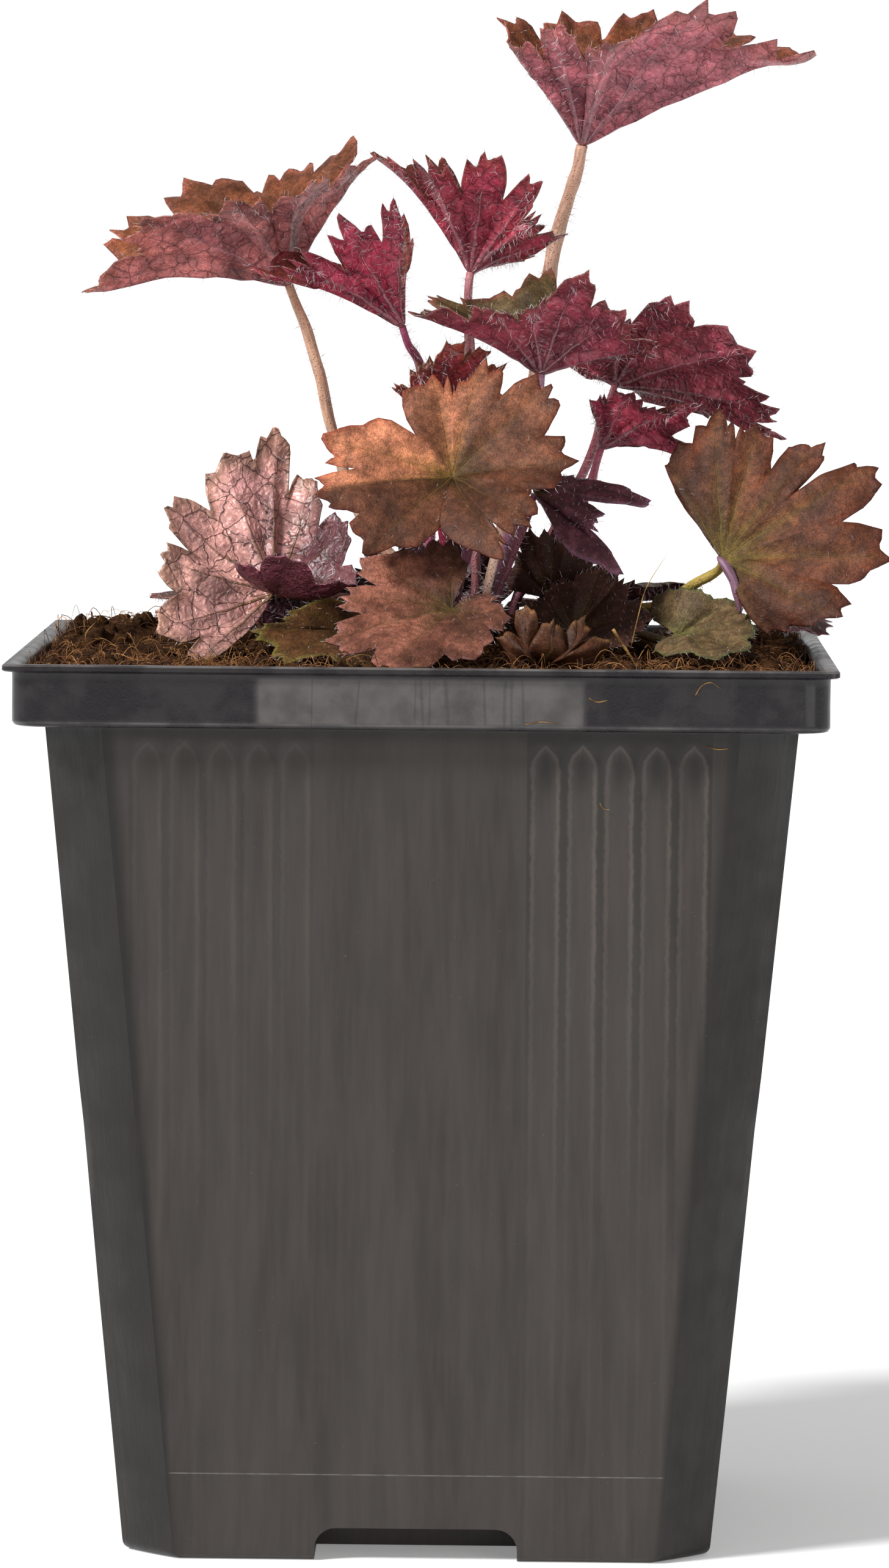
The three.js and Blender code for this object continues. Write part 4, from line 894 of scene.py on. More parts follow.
def tube(path, radii, sides, wobble=0.0, seed=0):
    """Rings round a path with a frame that doesn't twist; closed ends. Returns verts, faces,
    the place round and along it in mm, and the outward directions."""
    tangent = unit(np.gradient(path, axis=0))
    side = unit(np.cross(tangent[0], [0.3, 0.5, 0.81]))
    sides_at = [side]
    for t in tangent[1:]:
        side = unit(side - t * (side @ t))
        sides_at.append(side)
    sides_at = np.array(sides_at)
    other = np.cross(tangent, sides_at)
    run = np.concatenate([[0], np.cumsum(np.linalg.norm(np.diff(path, axis=0), axis=1))])
    rows, outs, places = [], [], []
    for k in range(sides):
        angle = 2 * np.pi * k / sides
        out = sides_at * np.cos(angle) + other * np.sin(angle)
        r = radii * (1 + wobble * noise(np.stack([run, 0 * run + 3 * k, 0 * run], 1), 1.6, seed))
        rows.append(path + out * r[:, None])
        outs.append(out)
        places.append(np.stack([radii * angle, run, 0 * run + seed], 1))
    verts = np.stack(rows, 1).reshape(-1, 3)
    n = len(path)
    faces = []
    for i in range(n - 1):
        for k in range(sides):
            a, b = i * sides + k, i * sides + (k + 1) % sides
            faces.append((a, b, b + sides, a + sides))
    faces.append(tuple(range(sides - 1, -1, -1)))
    faces.append(tuple((n - 1) * sides + k for k in range(sides)))
    return verts, faces, np.stack(places, 1).reshape(-1, 3), np.stack(outs, 1).reshape(-1, 3)


def build_stalk(leaf):
    name, sides = leaf["name"], 12
    length = stalk_path(leaf, 4)[1]
    path, _ = stalk_path(leaf, max(16, int(length / 0.8)))
    t = np.linspace(0, 1, len(path))
    radii = leaf["stalk"] * (1 + (STALK["flare"] - 1) * np.clip(1 - t / STALK["flare_end"], 0, 1))
    radii *= 1 - FINE["stalk_narrowing"] * smooth(0.8, 1.0, t)
    verts, faces, place, outs = tube(path, radii, sides, 0.1, int(name))
    material = stalk_material(f"stalk_{name}", leaf["stem_colour"])
    piece = mesh_piece(f"stalk_{name}", verts, faces, [material], fields=dict(along=place))
    node = f"leaf_stalk_{name}"
    settle(piece, slot_of(node), node)
    count = int(length * FINE["stalk_hairs"] * HAIRY.get(name, 1.0))
    spots = rng.integers(2 * sides, len(verts), count)
    way = unit(outs[spots] + rng.normal(0, 0.25, (len(spots), 3)) + [0, 0, 0.1])
    long = rng.uniform(0.35, 1.25, len(spots))
    stalk_hairs.add(verts[spots], way, long, rng.normal(0, 0.16, way.shape), FINE["hair"])


for leaf in LEAVES:
    build_blade(leaf)
    build_stalk(leaf)

HAIR = hair_material()
settle(margin_hairs.piece("margin_hairs", HAIR), "purple_blade")
settle(blade_hairs.piece("blade_hairs", HAIR), "purple_blade")
settle(stalk_hairs.piece("stalk_hairs", HAIR), "mauve_stalk")


# ---------------------------------------------------------------- pot
SHARP_ANGLE = 38  # in degrees, past which two faces of the pot meet in a sharp edge
# The lighter colour of the rim band's middle is a painted reflection, and that of the thin light lines
# at the lip and the band's foot is partly wear and partly painted highlight.
POT_COLOURS = dict(
    body=((0.0235, 0.018, 0.0145, 1), (0.0375, 0.030, 0.0255, 1)), flow=(0.053, 0.045, 0.040, 1),
    band=((0.006, 0.0045, 0.006, 1), (0.017, 0.014, 0.0155, 1)), patch=(0.088, 0.08, 0.079, 1),
    score=(0.26, 0.245, 0.23, 1), wear_and_glint=(0.2, 0.185, 0.18, 1), soiled=(0.16, 0.12, 0.08, 1))


def face_place(s, place):
    """The distance across a face from its middle, and the height, in mm."""
    x, y, z = s.split(place)
    on_x = s.maths("GREATER_THAN", abs(x), abs(y))
    return y * on_x + x * (1.0 - on_x), z


def flute_shade(s, place, across, z):
    """How light a face is by its flutes: painted shade in their caps, in the gaps between them and
    under the rim band, painted highlights on their thin edges, fainter on the left of the front face.
    """
    half, pitch, arch = POT["flute_width"] / 2, POT["flute_pitch"], FINE["flute_arch"]
    rank = (abs(across) - (POT["flute_start"] - pitch / 2)) / pitch
    row = s.maths("GREATER_THAN", rank, 0.0) * s.maths("LESS_THAN", rank, float(POT["flutes"]))
    off = abs(s.maths("FRACT", rank) - 0.5)
    over = s.higher(z - (SHOULDER - POT["flute_drop"] - arch), 0.0)
    fray = (s.noise(place, 1.2, 2) - 0.5) * 0.5
    cap = off * pitch + over * over * (half / arch ** 2) + fray
    below = SHOULDER - z
    # Painted highlights along the flutes' thin edges, painted shade in the grooves between them and in
    # their caps.
    edge = s.step(abs(cap - (half - 0.25)), 0.05, 0.38, 0.65, 0.0)
    gap_shade = s.step(cap, half - 0.15, half + 0.1, 0.0, -0.42)
    cap_shade = s.step(cap, 0.1, 1.2, -0.42, 0.0) * s.step(below, 4.5, 8.0, 1.0, 0.0)
    shade = (edge + gap_shade) * s.step(below, 3.0, 60.0, 1.0, 0.15) + cap_shade
    # Fainter on the left of the front face, where the light comes from.
    shade = 1.0 + row * (shade * s.step(across, -8.0, 8.0, 0.35, 1.0))
    # Painted shade under the overhang of the rim band.
    return shade * s.step(below, 0.2, 2.4, 0.45, 1.0) * s.step(below, 2.0, 14.0, 0.86, 1.0)


def painted_band_reflection(s, place, across, z):
    """A painted reflection on the middle of the rim band, with upright creases and a ragged border."""
    upright = s.vector("MULTIPLY", place, (1, 1, 0.07))
    border = 17.5 - abs(across) + s.noise(upright, 0.35, 3, 0.6) * 3.0
    cloud = s.step(s.noise(place, 0.22, 4, 0.6), 0.3, 0.65, 0.5, 1.0)
    crease = s.step(abs(s.noise(upright, 0.22, 2, 0.5) - 0.5), 0.004, 0.02, 0.7, 1.0)
    top = s.step(z, POT["height"] - 1.6, POT["height"] - 1.0, 1.0, 0.0)
    foot = s.step(z, SHOULDER + 0.35, SHOULDER + 0.9, 0.15, 1.0)
    return s.step(border, 0.6, 2.2) * cloud * (crease * top) * foot


def pot_material():
    """Dark recycled plastic with upright flow streaks and the painted shade and highlights of the
    flutes, a smoother rim band with a painted reflection in its middle, a thin scored line, thin
    light lines at the lip and the band's foot that are partly wear and partly painted highlight,
    painted shade on the chamfers and specks of soil."""
    s = Shader("pot_plastic", Specular_IOR_Level=0.36)
    place, inks = s.place(), POT_COLOURS
    # light is painted shade, dark on the chamfers; band is 1 on the rim band.
    light, band, _ = s.split(s.field("tone", "Color"), "Color")
    across, z = face_place(s, place)
    upright = s.vector("MULTIPLY", place, (1, 1, 0.03))
    streaks, wide = s.noise(upright, 0.8, 4, 0.6), s.noise(upright, 0.16, 2, 0.5)
    clouds, specks = s.noise(place, 0.16, 4, 0.6), s.noise(place, 3.2, 2, 0.6)
    colour = s.blend(s.step(streaks, 0.3, 0.7), *inks["body"])
    colour = s.blend(s.step(wide, 0.35, 0.65, 0, 0.35), colour, inks["flow"])
    colour = s.scale(colour, flute_shade(s, place, across, z))
    rim = s.blend(s.step(clouds, 0.42, 0.6), *inks["band"])
    # A painted reflection lightens the middle of the rim band.
    rim = s.blend(painted_band_reflection(s, place, across, z), rim, inks["patch"])
    colour = s.scale(s.blend(band, colour, rim), light)
    scored = 1.0 - s.step(abs(z - FINE["score_height"]), 0.03, 0.1)
    gaps = s.noise(s.vector("MULTIPLY", place, (1, 1, 0)), 0.45, 2)
    scored = scored * s.step(gaps, 0.36, 0.6, 0.4, 1.0) * s.step(light, 0.4, 0.8)
    colour = s.blend(scored * 0.4, colour, inks["score"])
    # Thin light lines on the lip's top edge and at the rim band's foot: partly wear, partly painted
    # highlight.
    for height, share in ((POT["height"] - 0.08, 0.6), (SHOULDER + 0.5, 0.3)):
        wear_and_glint = 1.0 - s.step(abs(z - height), 0.05, 0.2)
        wear_and_glint = wear_and_glint * s.step(clouds, 0.35, 0.65, 0.3, 1.0)
        colour = s.blend(wear_and_glint * share, colour, inks["wear_and_glint"])
    colour = s.blend(s.step(specks, 0.72, 0.8, 0, 0.45), colour, inks["soiled"])
    rough = s.step(streaks, 0.2, 0.8, 0.42, 0.55) + s.step(band, 0, 1, 0, -0.2)
    rough = rough + s.step(clouds, 0.3, 0.7, -0.05, 0.1)
    return s.finish(colour, rough, s.bump(streaks * 0.6 + specks * 0.12 + clouds * 0.5, 0.14))


def square_ring(half, cut, z, bulge, per_face, per_corner):
    """Points of a square outline whose corners are cut by `cut`: bulge 0 straight, 1 round."""
    t = np.linspace(0, 1, per_corner + 1)
    angle = t * np.pi / 2
    straight = np.stack([half - cut * t, half - cut * (1 - t)], 1)
    arc = np.stack([half - cut * (1 - np.cos(angle)), half - cut * (1 - np.sin(angle))], 1)
    side = np.linspace(1, -1, per_face + 1)[-2:0:-1] * -(half - cut)
    face = np.stack([side, np.full(len(side), half)], 1)
    quarter = np.concatenate([straight * (1 - bulge) + arc * bulge, face])
    turns = [(np.cos(k * np.pi / 2), np.sin(k * np.pi / 2)) for k in range(4)]
    ring = np.concatenate([quarter @ np.array([[cos, sin], [-sin, cos]]) for cos, sin in turns])
    return np.concatenate([ring, np.full((len(ring), 1), z)], 1)


def stacked(rings, per_face, per_corner):
    """A closed body through square rings (half, cut, z, bulge), from the lowest up."""
    verts = np.concatenate([square_ring(*ring, per_face, per_corner) for ring in rings])
    count = len(verts) // len(rings)
    i = np.arange(count)
    j = (i + 1) % count
    faces = []
    for a in range(0, len(verts) - count, count):
        faces += np.stack([a + i, a + j, a + count + j, a + count + i], 1).tolist()
    return verts, faces + [i[::-1].tolist(), (len(verts) - count + i).tolist()]


def body_at(z):
    """Half the width of the body and the size of its chamfers at height z."""
    t = z / SHOULDER
    return (POT["body_base"] + (POT["body_top"] - POT["body_base"]) * t,
            POT["chamfer_base"] + (POT["chamfer_top"] - POT["chamfer_base"]) * t)


def flute_depth(x, z):
    """Depth of the flutes at x from a face's middle and height z."""
    top = SHOULDER - POT["flute_drop"]
    half = POT["flute_width"] / 2
    depth = np.zeros_like(x)
    for side in (-1, 1):
        for i in range(POT["flutes"]):
            dx = np.abs(x - side * (POT["flute_start"] + i * POT["flute_pitch"]))
            cap = np.hypot(dx, np.maximum(z - (top - half), 0))
            here = 1 - smooth(half - 0.5, half + 0.1, cap)
            run_out = np.clip(1 - (top - z) / POT["flute_length"], 0, 1)
            depth = np.maximum(depth, here * run_out * POT["flute_depth"])
    return depth


def across_face(points):
    """Whether a point is on a face that looks along x, and how far it is from its middle."""
    on_x = np.abs(points[:, 0]) > np.abs(points[:, 1])
    return on_x, np.where(on_x, points[:, 1], points[:, 0])


def bare_mesh(verts, faces):
    return mesh_piece("cutter", verts, faces, [])


def combine(body, tools, operation):
    """Joins closed tools with the body, or takes them out of it, and deletes them."""
    for tool in tools:
        change = body.modifiers.new("change", "BOOLEAN")
        change.object, change.operation, change.solver = tool, operation, "EXACT"
    made = body.evaluated_get(bpy.context.evaluated_depsgraph_get())
    mesh = bpy.data.meshes.new_from_object(made)
    body.modifiers.clear()
    body.data = mesh
    for tool in tools:
        bpy.data.objects.remove(tool)
    return body


def channel_bars(grow):
    """The two crossing drainage channels as one solid, thicker by `grow`."""
    half = POT["channel_width"] / 2 + grow
    height, curve = POT["channel_height"] + grow, POT["channel_round"]
    turn = np.radians(np.linspace(0, 90, 7))
    arch = [(half - curve + curve * np.cos(a), height - curve + curve * np.sin(a)) for a in turn]
    section = [(half, -1), *arch, *[(-x, z) for x, z in arch[::-1]], (-half, -1)]
    reach, n = POT["lip_half"], len(section)
    faces = [(n + k, n + (k + 1) % n, (k + 1) % n, k) for k in range(n)]
    faces += [tuple(range(n)), tuple(range(2 * n - 1, n - 1, -1))]
    along, across = (bare_mesh([(x, y, z) if keep else (-y, x, z)
                                for y in (-reach, reach) for x, z in section], faces)
                     for keep in (True, False))
    return combine(along, [across], "UNION")


def upright_prism(outline, low, high):
    """A closed solid over an outline that runs anticlockwise."""
    n = len(outline)
    walls = [(k, (k + 1) % n, n + (k + 1) % n, n + k) for k in range(n)]
    return bare_mesh([(*p, z) for z in (low, high) for p in outline],
                     walls + [tuple(range(n - 1, -1, -1)), tuple(range(n, 2 * n))])


def upright_cylinder(x, y, radius, low, high, sides=28):
    turn = 2 * np.pi * np.arange(sides) / sides
    return upright_prism([(x + radius * np.cos(a), y + radius * np.sin(a)) for a in turn], low, high)


def on_arm(arm, out, aside=0):
    """The (x, y) of a place in one of the four arms of the channels."""
    return turned((out, aside, 0), (0, 0, 1), arm * np.pi / 2)[:2]


def channel_rib(arm):
    """A rib that crosses one arm of the channels, just clear of the floor; its dark plastic also
    stands in for the shade deep under the pot.
    """
    half, near = POT["channel_width"] / 2 + 0.4, FINE["rib_reach"]
    far = near + FINE["rib_thick"]
    corners = [(near, -half), (far, -half), (far, half), (near, half)]
    return upright_prism([on_arm(arm, *corner) for corner in corners],
                         FINE["rib_clear"], POT["channel_height"] + 0.5)


def outer_rings():
    """Rings of the outside: the rounded foot, the body, the shoulder, the rim band, the lip."""
    foot, bulge = FINE["foot_round"], 0.12
    half, cut = body_at(foot)
    rings = [(half - foot * (1 - np.sin(a)), cut, foot * (1 - np.cos(a)), bulge)
             for a in np.radians(np.linspace(0, 90, 6))]
    heights = [*np.linspace(3.5, 70, 22), *np.linspace(72, 84, 8), *np.arange(84.6, 91.8, 0.4)]
    rings += [(*body_at(z), z, bulge) for z in heights]
    top, cut, under = POT["body_top"], POT["chamfer_top"], POT["height"] - POT["lip_thick"]
    band, corner = POT["band_half"], POT["band_round"]
    rings += [(top, cut, SHOULDER - 0.25, bulge), (top + 0.12, cut, SHOULDER - 0.05, 0.15),
              (top + 1.5, corner + 1, SHOULDER, 0.9), (band - 0.6, corner, SHOULDER + 0.02, 1),
              (band - 0.22, corner, SHOULDER + 0.16, 1), (band, corner, SHOULDER + 0.5, 1)]
    rings += [(band, corner, z, 1) for z in np.linspace(SHOULDER + 0.9, under - 0.4, 9)]
    lip, corner_lip = POT["lip_half"], POT["lip_round"]
    return rings + [
        (band + 0.05, corner, under - 0.15, 1), (lip - 0.25, corner_lip, under, 1),
        (lip, corner_lip, under + 0.15, 1), (lip, corner_lip, POT["height"] - 0.15, 1),
        (lip - 0.15, corner_lip, POT["height"], 1)]


def inner_rings():
    """Rings of the hollow inside, from the floor up through the rounded mouth."""
    wall, cut = POT["wall"], POT["chamfer_top"]
    half_low, cut_low = body_at(1)
    band, corner = POT["band_half"], POT["band_round"]
    lip, top = POT["lip_half"], POT["height"]
    return [(half_low - wall, cut_low, 1, 0.1), (POT["body_top"] - wall, cut, SHOULDER + 1.3, 0.1),
            (band - wall, corner, SHOULDER + 2.4, 1), (band - wall, corner, top - 2.2, 1),
            (lip - 1.9, 2.2, top - 0.8, 1), (lip - 1.5, 2, top - 0.25, 1),
            (lip - 0.9, 1.6, top, 1), (lip - 0.9, 1.6, top + 1, 1)]


def pot_painted_shade(points):
    """Red: how light a point of the pot is, with painted shade on the chamfers. Green: 1 on the rim
    band.
    """
    _, across = across_face(points)
    band = smooth(SHOULDER - 0.3, SHOULDER + 0.1, points[:, 2])
    major = np.maximum(np.abs(points[:, 0]), np.abs(points[:, 1]))
    chamfer = smooth(0.79, 0.83, np.abs(across) / np.maximum(major, 1))
    light = 1 - 0.72 * chamfer * (1 - band)
    return np.stack([light, band, 0 * band, 1 + 0 * band], 1)


def build_pot():
    per_face, per_corner, arms = 150, 6, range(4)
    verts, faces = stacked(outer_rings(), per_face, per_corner)
    on_x, across = across_face(verts)
    fluted = (verts[:, 2] < SHOULDER - 0.3) & (verts[:, 2] > 1.3)
    depth = np.where(fluted, flute_depth(across, verts[:, 2]), 0)
    for axis, faced in ((0, on_x), (1, ~on_x)):
        verts[:, axis] -= np.where(faced, np.sign(verts[:, axis]) * depth, 0)
    piece = mesh_piece("pot_shell", verts, faces, [pot_material()])
    hollow = combine(bare_mesh(*stacked(inner_rings(), 6, per_corner)),
                     [channel_bars(POT["wall"])], "DIFFERENCE")
    holes = [upright_cylinder(*on_arm(arm, reach), POT["drain_radius"], -1,
                              3 * POT["channel_height"])
             for arm in arms for reach in POT["drain_reaches"]]
    combine(piece, [hollow, channel_bars(0), *holes], "DIFFERENCE")
    foot = upright_cylinder(0, 0, POT["foot_radius"], 0, POT["channel_height"] + 0.5)
    combine(piece, [foot, *(channel_rib(arm) for arm in arms)], "UNION")
    mesh = piece.data
    points = np.zeros(3 * len(mesh.vertices))
    mesh.vertices.foreach_get("co", points)
    painted_light = pot_painted_shade(points.reshape(-1, 3) / MM).astype(np.float32)
    mesh.attributes.new("tone", "FLOAT_COLOR", "POINT").data.foreach_set("color", painted_light.ravel())
    mesh.set_sharp_from_angle(angle=np.radians(SHARP_ANGLE))
    settle(piece, "pot", "pot")


build_pot()


# ---------------------------------------------------------------- soil and what lies on it
def tree_of(names):
    """One search tree over the CAD meshes of some nodes, in mm."""
    verts, faces = [], []
    for name in names:
        mesh = frame["nodes"][name].data
        start = len(verts)
        verts += [v.co / MM for v in mesh.vertices]
        faces += [[start + i for i in face.vertices] for face in mesh.polygons]
    return BVHTree.FromPolygons(verts, faces)


ground = tree_of(["soil"])
canopy = tree_of([f"leaf_blade_{leaf['name']}" for leaf in LEAVES])
OVER_SOIL = 120  # a height over all of the soil, where the rays down to it start
OPEN_SKY = 20.0  # the headroom where no leaf is overhead
PEAT_COLOURS = (0.009, 0.004, 0.0016, 1), (0.07, 0.028, 0.009, 1)
LUMP_COLOUR = (0.11, 0.048, 0.016, 1)


def ground_at(x, y):
    """Height of the soil's solid at (x, y), or None past its edge."""
    hit = ground.ray_cast(Vector((x, y, OVER_SOIL)), Vector((0, 0, -1)))[0]
    return None if hit is None else hit.z


def headroom(x, y, z):
    """Free height over a point of the soil, up to the lowest leaf."""
    hit = canopy.ray_cast(Vector((x, y, z)), Vector((0, 0, 1)))[0]
    return OPEN_SKY if hit is None else hit.z - z


def soil_material():
    s = Shader("peat", Specular_IOR_Level=0.1)
    place = s.place()
    grit, lump = s.noise(place, 1.6, 5, 0.7), s.noise(place, 0.35, 3, 0.6)
    colour = s.blend(s.step(grit, 0.35, 0.65), *PEAT_COLOURS)
    colour = s.blend(s.step(lump, 0.45, 0.65, 0, 0.6), colour, LUMP_COLOUR)
    return s.finish(colour, s.step(grit, 0.3, 0.7, 0.75, 0.95), s.bump(grit, 0.6))


def strand_material(name, dark, light):
    s = Shader(name, Roughness=0.6, Specular_IOR_Level=0.3)
    place = s.place()
    tone = s.step(s.noise(place, 0.5, 3, 0.6), 0.35, 0.65)
    return s.finish(s.blend(tone, opaque(linear(dark)), opaque(linear(light))),
                    normal=s.bump(s.noise(place, 4, 2), 0.08))


PEAT = soil_material()


def build_soil_top():
    """The rough top over the smooth solid. Returns its points and the headroom over them."""
    half = POT["band_half"] - POT["wall"] - 0.35
    n = int(2 * half / FINE["soil_grid"])
    line = np.linspace(-half, half, n + 1)
    grid = np.array([(x, y) for y in line for x in line])
    heights = [ground_at(x, y) for x, y in grid]
    known = np.array([z is not None for z in heights])
    points = np.array([(x, y, -1 if z is None else z) for (x, y), z in zip(grid, heights)])
    free = np.array([headroom(*p) for p in points])
    rough = sum(share * noise(points, size, seed)
                for share, size, seed in ((0.5, 2.6, 3), (0.35, 1.1, 4), (0.2, 0.55, 5)))
    lift = np.minimum(np.clip(0.35 + rough, 0.04, None), np.maximum(0.45 * free, 0.04))
    points[:, 2] += lift * smooth(-0.1, 1.5, half - np.abs(grid).max(1)) + 0.02
    corner = np.array([j * (n + 1) + i for j in range(n) for i in range(n)])
    faces = corner[:, None] + [0, 1, n + 2, n + 1]
    used, index = np.unique(faces[known[faces].all(1)], return_inverse=True)
    settle(mesh_piece("soil_top", points[used], index.reshape(-1, 4), [PEAT]), "soil")
    return points[used], free[used]


def scattered(points, weight, count):
    return points[rng.choice(len(points), count, p=weight / weight.sum())]


def unit_ball():
    """An icosahedron whose faces are split once: 42 points and 80 faces."""
    g = (1 + 5 ** 0.5) / 2
    verts = [unit(v) for v in [(-1, g, 0), (1, g, 0), (-1, -g, 0), (1, -g, 0), (0, -1, g),
                               (0, 1, g), (0, -1, -g), (0, 1, -g), (g, 0, -1), (g, 0, 1),
                               (-g, 0, -1), (-g, 0, 1)]]
    faces = [(0, 11, 5), (0, 5, 1), (0, 1, 7), (0, 7, 10), (0, 10, 11), (1, 5, 9), (5, 11, 4),
             (11, 10, 2), (10, 7, 6), (7, 1, 8), (3, 9, 4), (3, 4, 2), (3, 2, 6), (3, 6, 8),
             (3, 8, 9), (4, 9, 5), (2, 4, 11), (6, 2, 10), (8, 6, 7), (9, 8, 1)]
    middles, split = {}, []

    def middle(a, b):
        key = (min(a, b), max(a, b))
        if key not in middles:
            verts.append(unit(verts[a] + verts[b]))
            middles[key] = len(verts) - 1
        return middles[key]

    for a, b, c in faces:
        ab, bc, ca = middle(a, b), middle(b, c), middle(c, a)
        split += [(a, ab, ca), (b, bc, ab), (c, ca, bc), (ab, bc, ca)]
    return np.array(verts), np.array(split)


def build_crumbs(points, free):
    ball, ball_faces = unit_ball()
    edge = POT["band_half"] - POT["wall"] - FINE["crumb_margin"]
    open_ground = np.clip(free - 1.5, 0, 3) + 0.02
    verts, faces = [], []
    for count, low, high in CRUMBS:
        for centre in scattered(points, open_ground, count):
            centre = np.append(np.clip(centre[:2], -edge, edge), centre[2])
            size = rng.uniform(low, high) * rng.uniform(0.6, 1.2, 3)
            shape = ball * (1 + 0.45 * noise(ball * 3 + centre, 1.3, 7))[:, None] * size
            turn = rng.uniform(0, np.pi)
            shape = turned(shape, unit(rng.normal(0, 1, 3)), turn)
            faces.append(ball_faces + len(ball) * len(verts))
            verts.append(shape + centre + [0, 0, 0.1 * size[2]])
    piece = mesh_piece("soil_crumbs", np.concatenate(verts), np.concatenate(faces), [PEAT])
    settle(piece, "soil")


class Strands:
    """Collects thin curved strands with three sides and makes one mesh of them."""

    def __init__(self):
        self.verts, self.faces = [], []

    def add(self, path, radius):
        tangent = unit(np.gradient(path, axis=0))
        taper = np.minimum(1, 1.15 - np.linspace(0, 1, len(path)) ** 3)[:, None]
        rows = [path + radius * taper * out for out in three_round(tangent)]
        first = len(self.verts)
        last = first + 3 * (len(path) - 1)
        self.verts += list(np.stack(rows, 1).reshape(-1, 3))
        for i in range(first, last, 3):
            for a, b in ((i, i + 1), (i + 1, i + 2), (i + 2, i)):
                self.faces.append((a, b, b + 3, a + 3))
        self.faces += [(first + 2, first + 1, first), (last, last + 1, last + 2)]

    def piece(self, name, material):
        settle(mesh_piece(name, self.verts, self.faces, [material]), "soil")


def curl_path(start, length, rise, curl, steps=8):
    """A strand that leaves start in a random direction, curls and rises to `rise`."""
    heading = rng.uniform(0, 2 * np.pi)
    path, at = [np.array(start, float)], np.array(start, float)
    for k in range(steps):
        heading += rng.normal(0, curl)
        slope = rise * np.pi / steps * np.cos(np.pi * (k + 0.5) / steps)
        at = at + [length / steps * np.cos(heading), length / steps * np.sin(heading), slope]
        path.append(at)
    return np.array(path)


def build_fibres(points, free):
    half = POT["band_half"] - POT["wall"] - FINE["fibre_margin"]
    in_front = np.exp(-np.clip(points[:, 1] + 36, 0, None) / 30)  # 1 at the front, less behind
    weight = (np.clip(free - 1, 0, 3) + 0.02) * (0.45 + in_front)
    for name, dark, light, count, thick in FIBRES:
        strands = Strands()
        for start in scattered(points, weight, count):
            length = rng.uniform(1.2, 5) * rng.uniform(0.6, 1.5)
            rise = min(rng.exponential(0.6), 2.6)
            path = curl_path(start + [0, 0, 0.1], length, rise, 0.3)
            path[:, :2] = np.clip(path[:, :2], -half, half)
            if min(headroom(*p) for p in path) > 0.4:
                strands.add(path, rng.uniform(*thick))
        strands.piece(name, strand_material(name, dark, light))


def front_wall(x, z):
    """The y of the pot's outer face at (x, z), on its front or on the chamfer beside it."""
    half, cut = body_at(z) if z < SHOULDER else (POT["band_half"], POT["band_round"])
    return max(abs(x) - (half - cut), 0) - half


def build_loose_strands():
    strands = Strands()
    for points in CLINGING:
        path = dense([(x, front_wall(x, z) - FINE["cling"], z) for x, z in points])
        strands.add(path, FINE["strand"])
    for points, radius in STANDING:
        strands.add(dense(points), radius)
    strands.piece("loose_strands", strand_material("straw", "5a3a1c", "b08a4c"))


def build_roll():
    path = dense(ROLL)
    t = np.linspace(-1, 1, len(path))
    verts, faces, place, _ = tube(path, ROLL_RADIUS * np.sqrt(1.04 - t ** 2), 12, 0.25, 5)
    piece = mesh_piece("roll_08", verts, faces, [stalk_material("roll_08", "8a6478", False)],
                       fields=dict(along=place))
    settle(piece, slot_of("leaf_blade_08"))


def build_withered_and_shade(leaf):
    sheet = blade_sheet(leaf)
    normals = vertex_normals(*sheet[:2])
    thick = np.full(len(normals), FINE["withered_thick"])
    piece = blade_piece(f"withered_{leaf['name']}", leaf, sheet, normals, thick, thick,
                        ["dark", "purple"])
    settle(piece, slot_of("leaf_blade_14"))


soil_points, soil_free = build_soil_top()
build_crumbs(soil_points, soil_free)
build_fibres(soil_points, soil_free)
for leaf in WITHERED_AND_SHADE:
    build_withered_and_shade(leaf)
build_loose_strands()
build_roll()
for node in ("soil", "crown"):
    for slot in frame["nodes"][node].material_slots:
        slot.material = PEAT


# ---------------------------------------------------------------- camera, light and stage
# The camera: angles in radians, clipping in metres.
CAMERA = dict(place=(12.74, -858.3, 147.95), yaw=-0.0124, pitch=-0.0753, roll=0.0084,
              focal_px=12450, long_side_px=2567, sensor=36, near=0.05, far=20)
# The key light: the direction that it comes from, its strength and its softness in degrees.
# The fill light: its place and the point that it is aimed at, its size and its power in watts.
KEY = dict(way=(-0.62, -0.45, 0.65), strength=3.6, spread=12)
FILL = dict(place=(420, -620, 200), target=(0, 0, 110), size=400, power=0.9)
# How strongly the world shines from all round, from straight behind and from above, and how
# bright it is to the camera.
WORLD = dict(round=0.27, behind=0.5, above=0.12, seen=1.05)
WHITE, FLOOR_COLOURS = (1, 1, 1, 1), [(0.955, 0.955, 0.955, 1), (0.965, 0.965, 0.965, 1)]
FLOOR_REACH = 6000


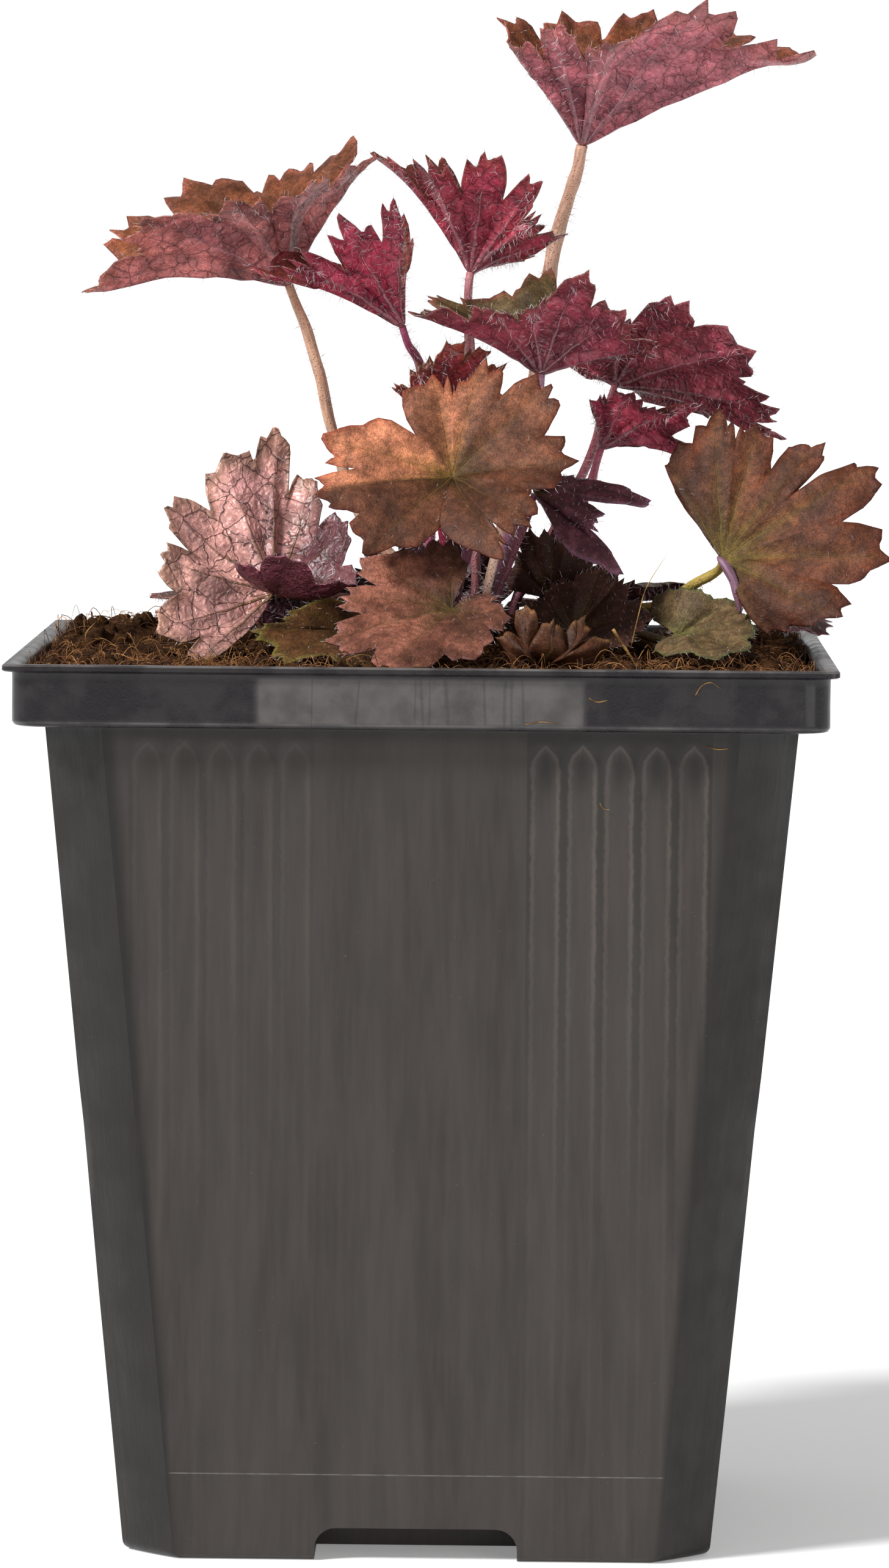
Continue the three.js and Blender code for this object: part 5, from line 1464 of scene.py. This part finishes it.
def build_camera():
    yaw, pitch, roll = (CAMERA[angle] for angle in ("yaw", "pitch", "roll"))
    ahead = np.array([np.sin(yaw) * np.cos(pitch), np.cos(yaw) * np.cos(pitch), np.sin(pitch)])
    level = unit(np.cross(ahead, [0, 0, 1]))
    over = np.cross(level, ahead)
    right = np.cos(roll) * level + np.sin(roll) * over
    up = -np.sin(roll) * level + np.cos(roll) * over
    data = bpy.data.cameras.new("camera")
    data.sensor_width = CAMERA["sensor"]
    data.lens = CAMERA["focal_px"] * data.sensor_width / CAMERA["long_side_px"]
    data.clip_start, data.clip_end = CAMERA["near"], CAMERA["far"]
    camera = linked("camera", data)
    turn = Matrix(np.stack([right, up, -ahead], 1).tolist()).to_4x4()
    camera.matrix_world = Matrix.Translation(Vector(CAMERA["place"]) * MM) @ turn
    bpy.context.scene.camera = camera


def area_light(name, place, target, size, power):
    data = bpy.data.lights.new(name, "AREA")
    data.shape, data.size, data.energy = "SQUARE", size * MM, power
    light = linked(name, data)
    light.location = Vector(place) * MM
    light.rotation_mode = "QUATERNION"
    light.rotation_quaternion = (Vector(target) - Vector(place)).to_track_quat("-Z", "Y")


def sun_light(name, way, strength, spread):
    """Parallel light that comes from the direction way, soft by spread degrees."""
    data = bpy.data.lights.new(name, "SUN")
    data.energy, data.angle = strength, np.radians(spread)
    light = linked(name, data)
    light.rotation_mode = "QUATERNION"
    light.rotation_quaternion = Vector(way).to_track_quat("Z", "Y")


def build_world():
    """White where the camera sees it; it lights the plant dimly, most from straight behind and
    a little more from above than from the sides."""
    world = bpy.data.worlds.new("studio")
    world.use_nodes = True
    n = Nodes(world.node_tree)
    _, behind, up = n.split(n.node("TexCoord", out="Generated"))
    glow = n.higher(behind, 0.0) ** 8.0 * WORLD["behind"]
    strength = WORLD["round"] + glow + n.higher(up, 0.0) * WORLD["above"]
    seen = n.node("LightPath", out="Is Camera Ray")
    background = world.node_tree.nodes["Background"]
    background.inputs[0].default_value = WHITE
    n.feed(background.inputs[1], n.higher(strength, seen * WORLD["seen"]))
    bpy.context.scene.world = world


def build_stage():
    """A plain pale floor with a faint painted glow that lightens the shadows on it and lights the pot
    a little from below, the key light from the upper left and a dim fill from the right.
    """
    # The floor's emission is a painted glow.
    s = Shader("floor", Roughness=0.9, Emission_Color=WHITE, Emission_Strength=0.22)
    colour = s.blend(s.noise(s.node("TexCoord", out="Object"), 3), *FLOOR_COLOURS)
    corners = [(-1, -1, 0), (1, -1, 0), (1, 1, 0), (-1, 1, 0)]
    floor = mesh_piece("floor", np.array(corners) * FLOOR_REACH, [(0, 1, 2, 3)],
                       [s.finish(colour)])
    sun_light("key", **KEY)
    area_light("fill", **FILL)


build_camera()
build_world()
build_stage()

bpy.context.scene.view_settings.view_transform = "Standard"
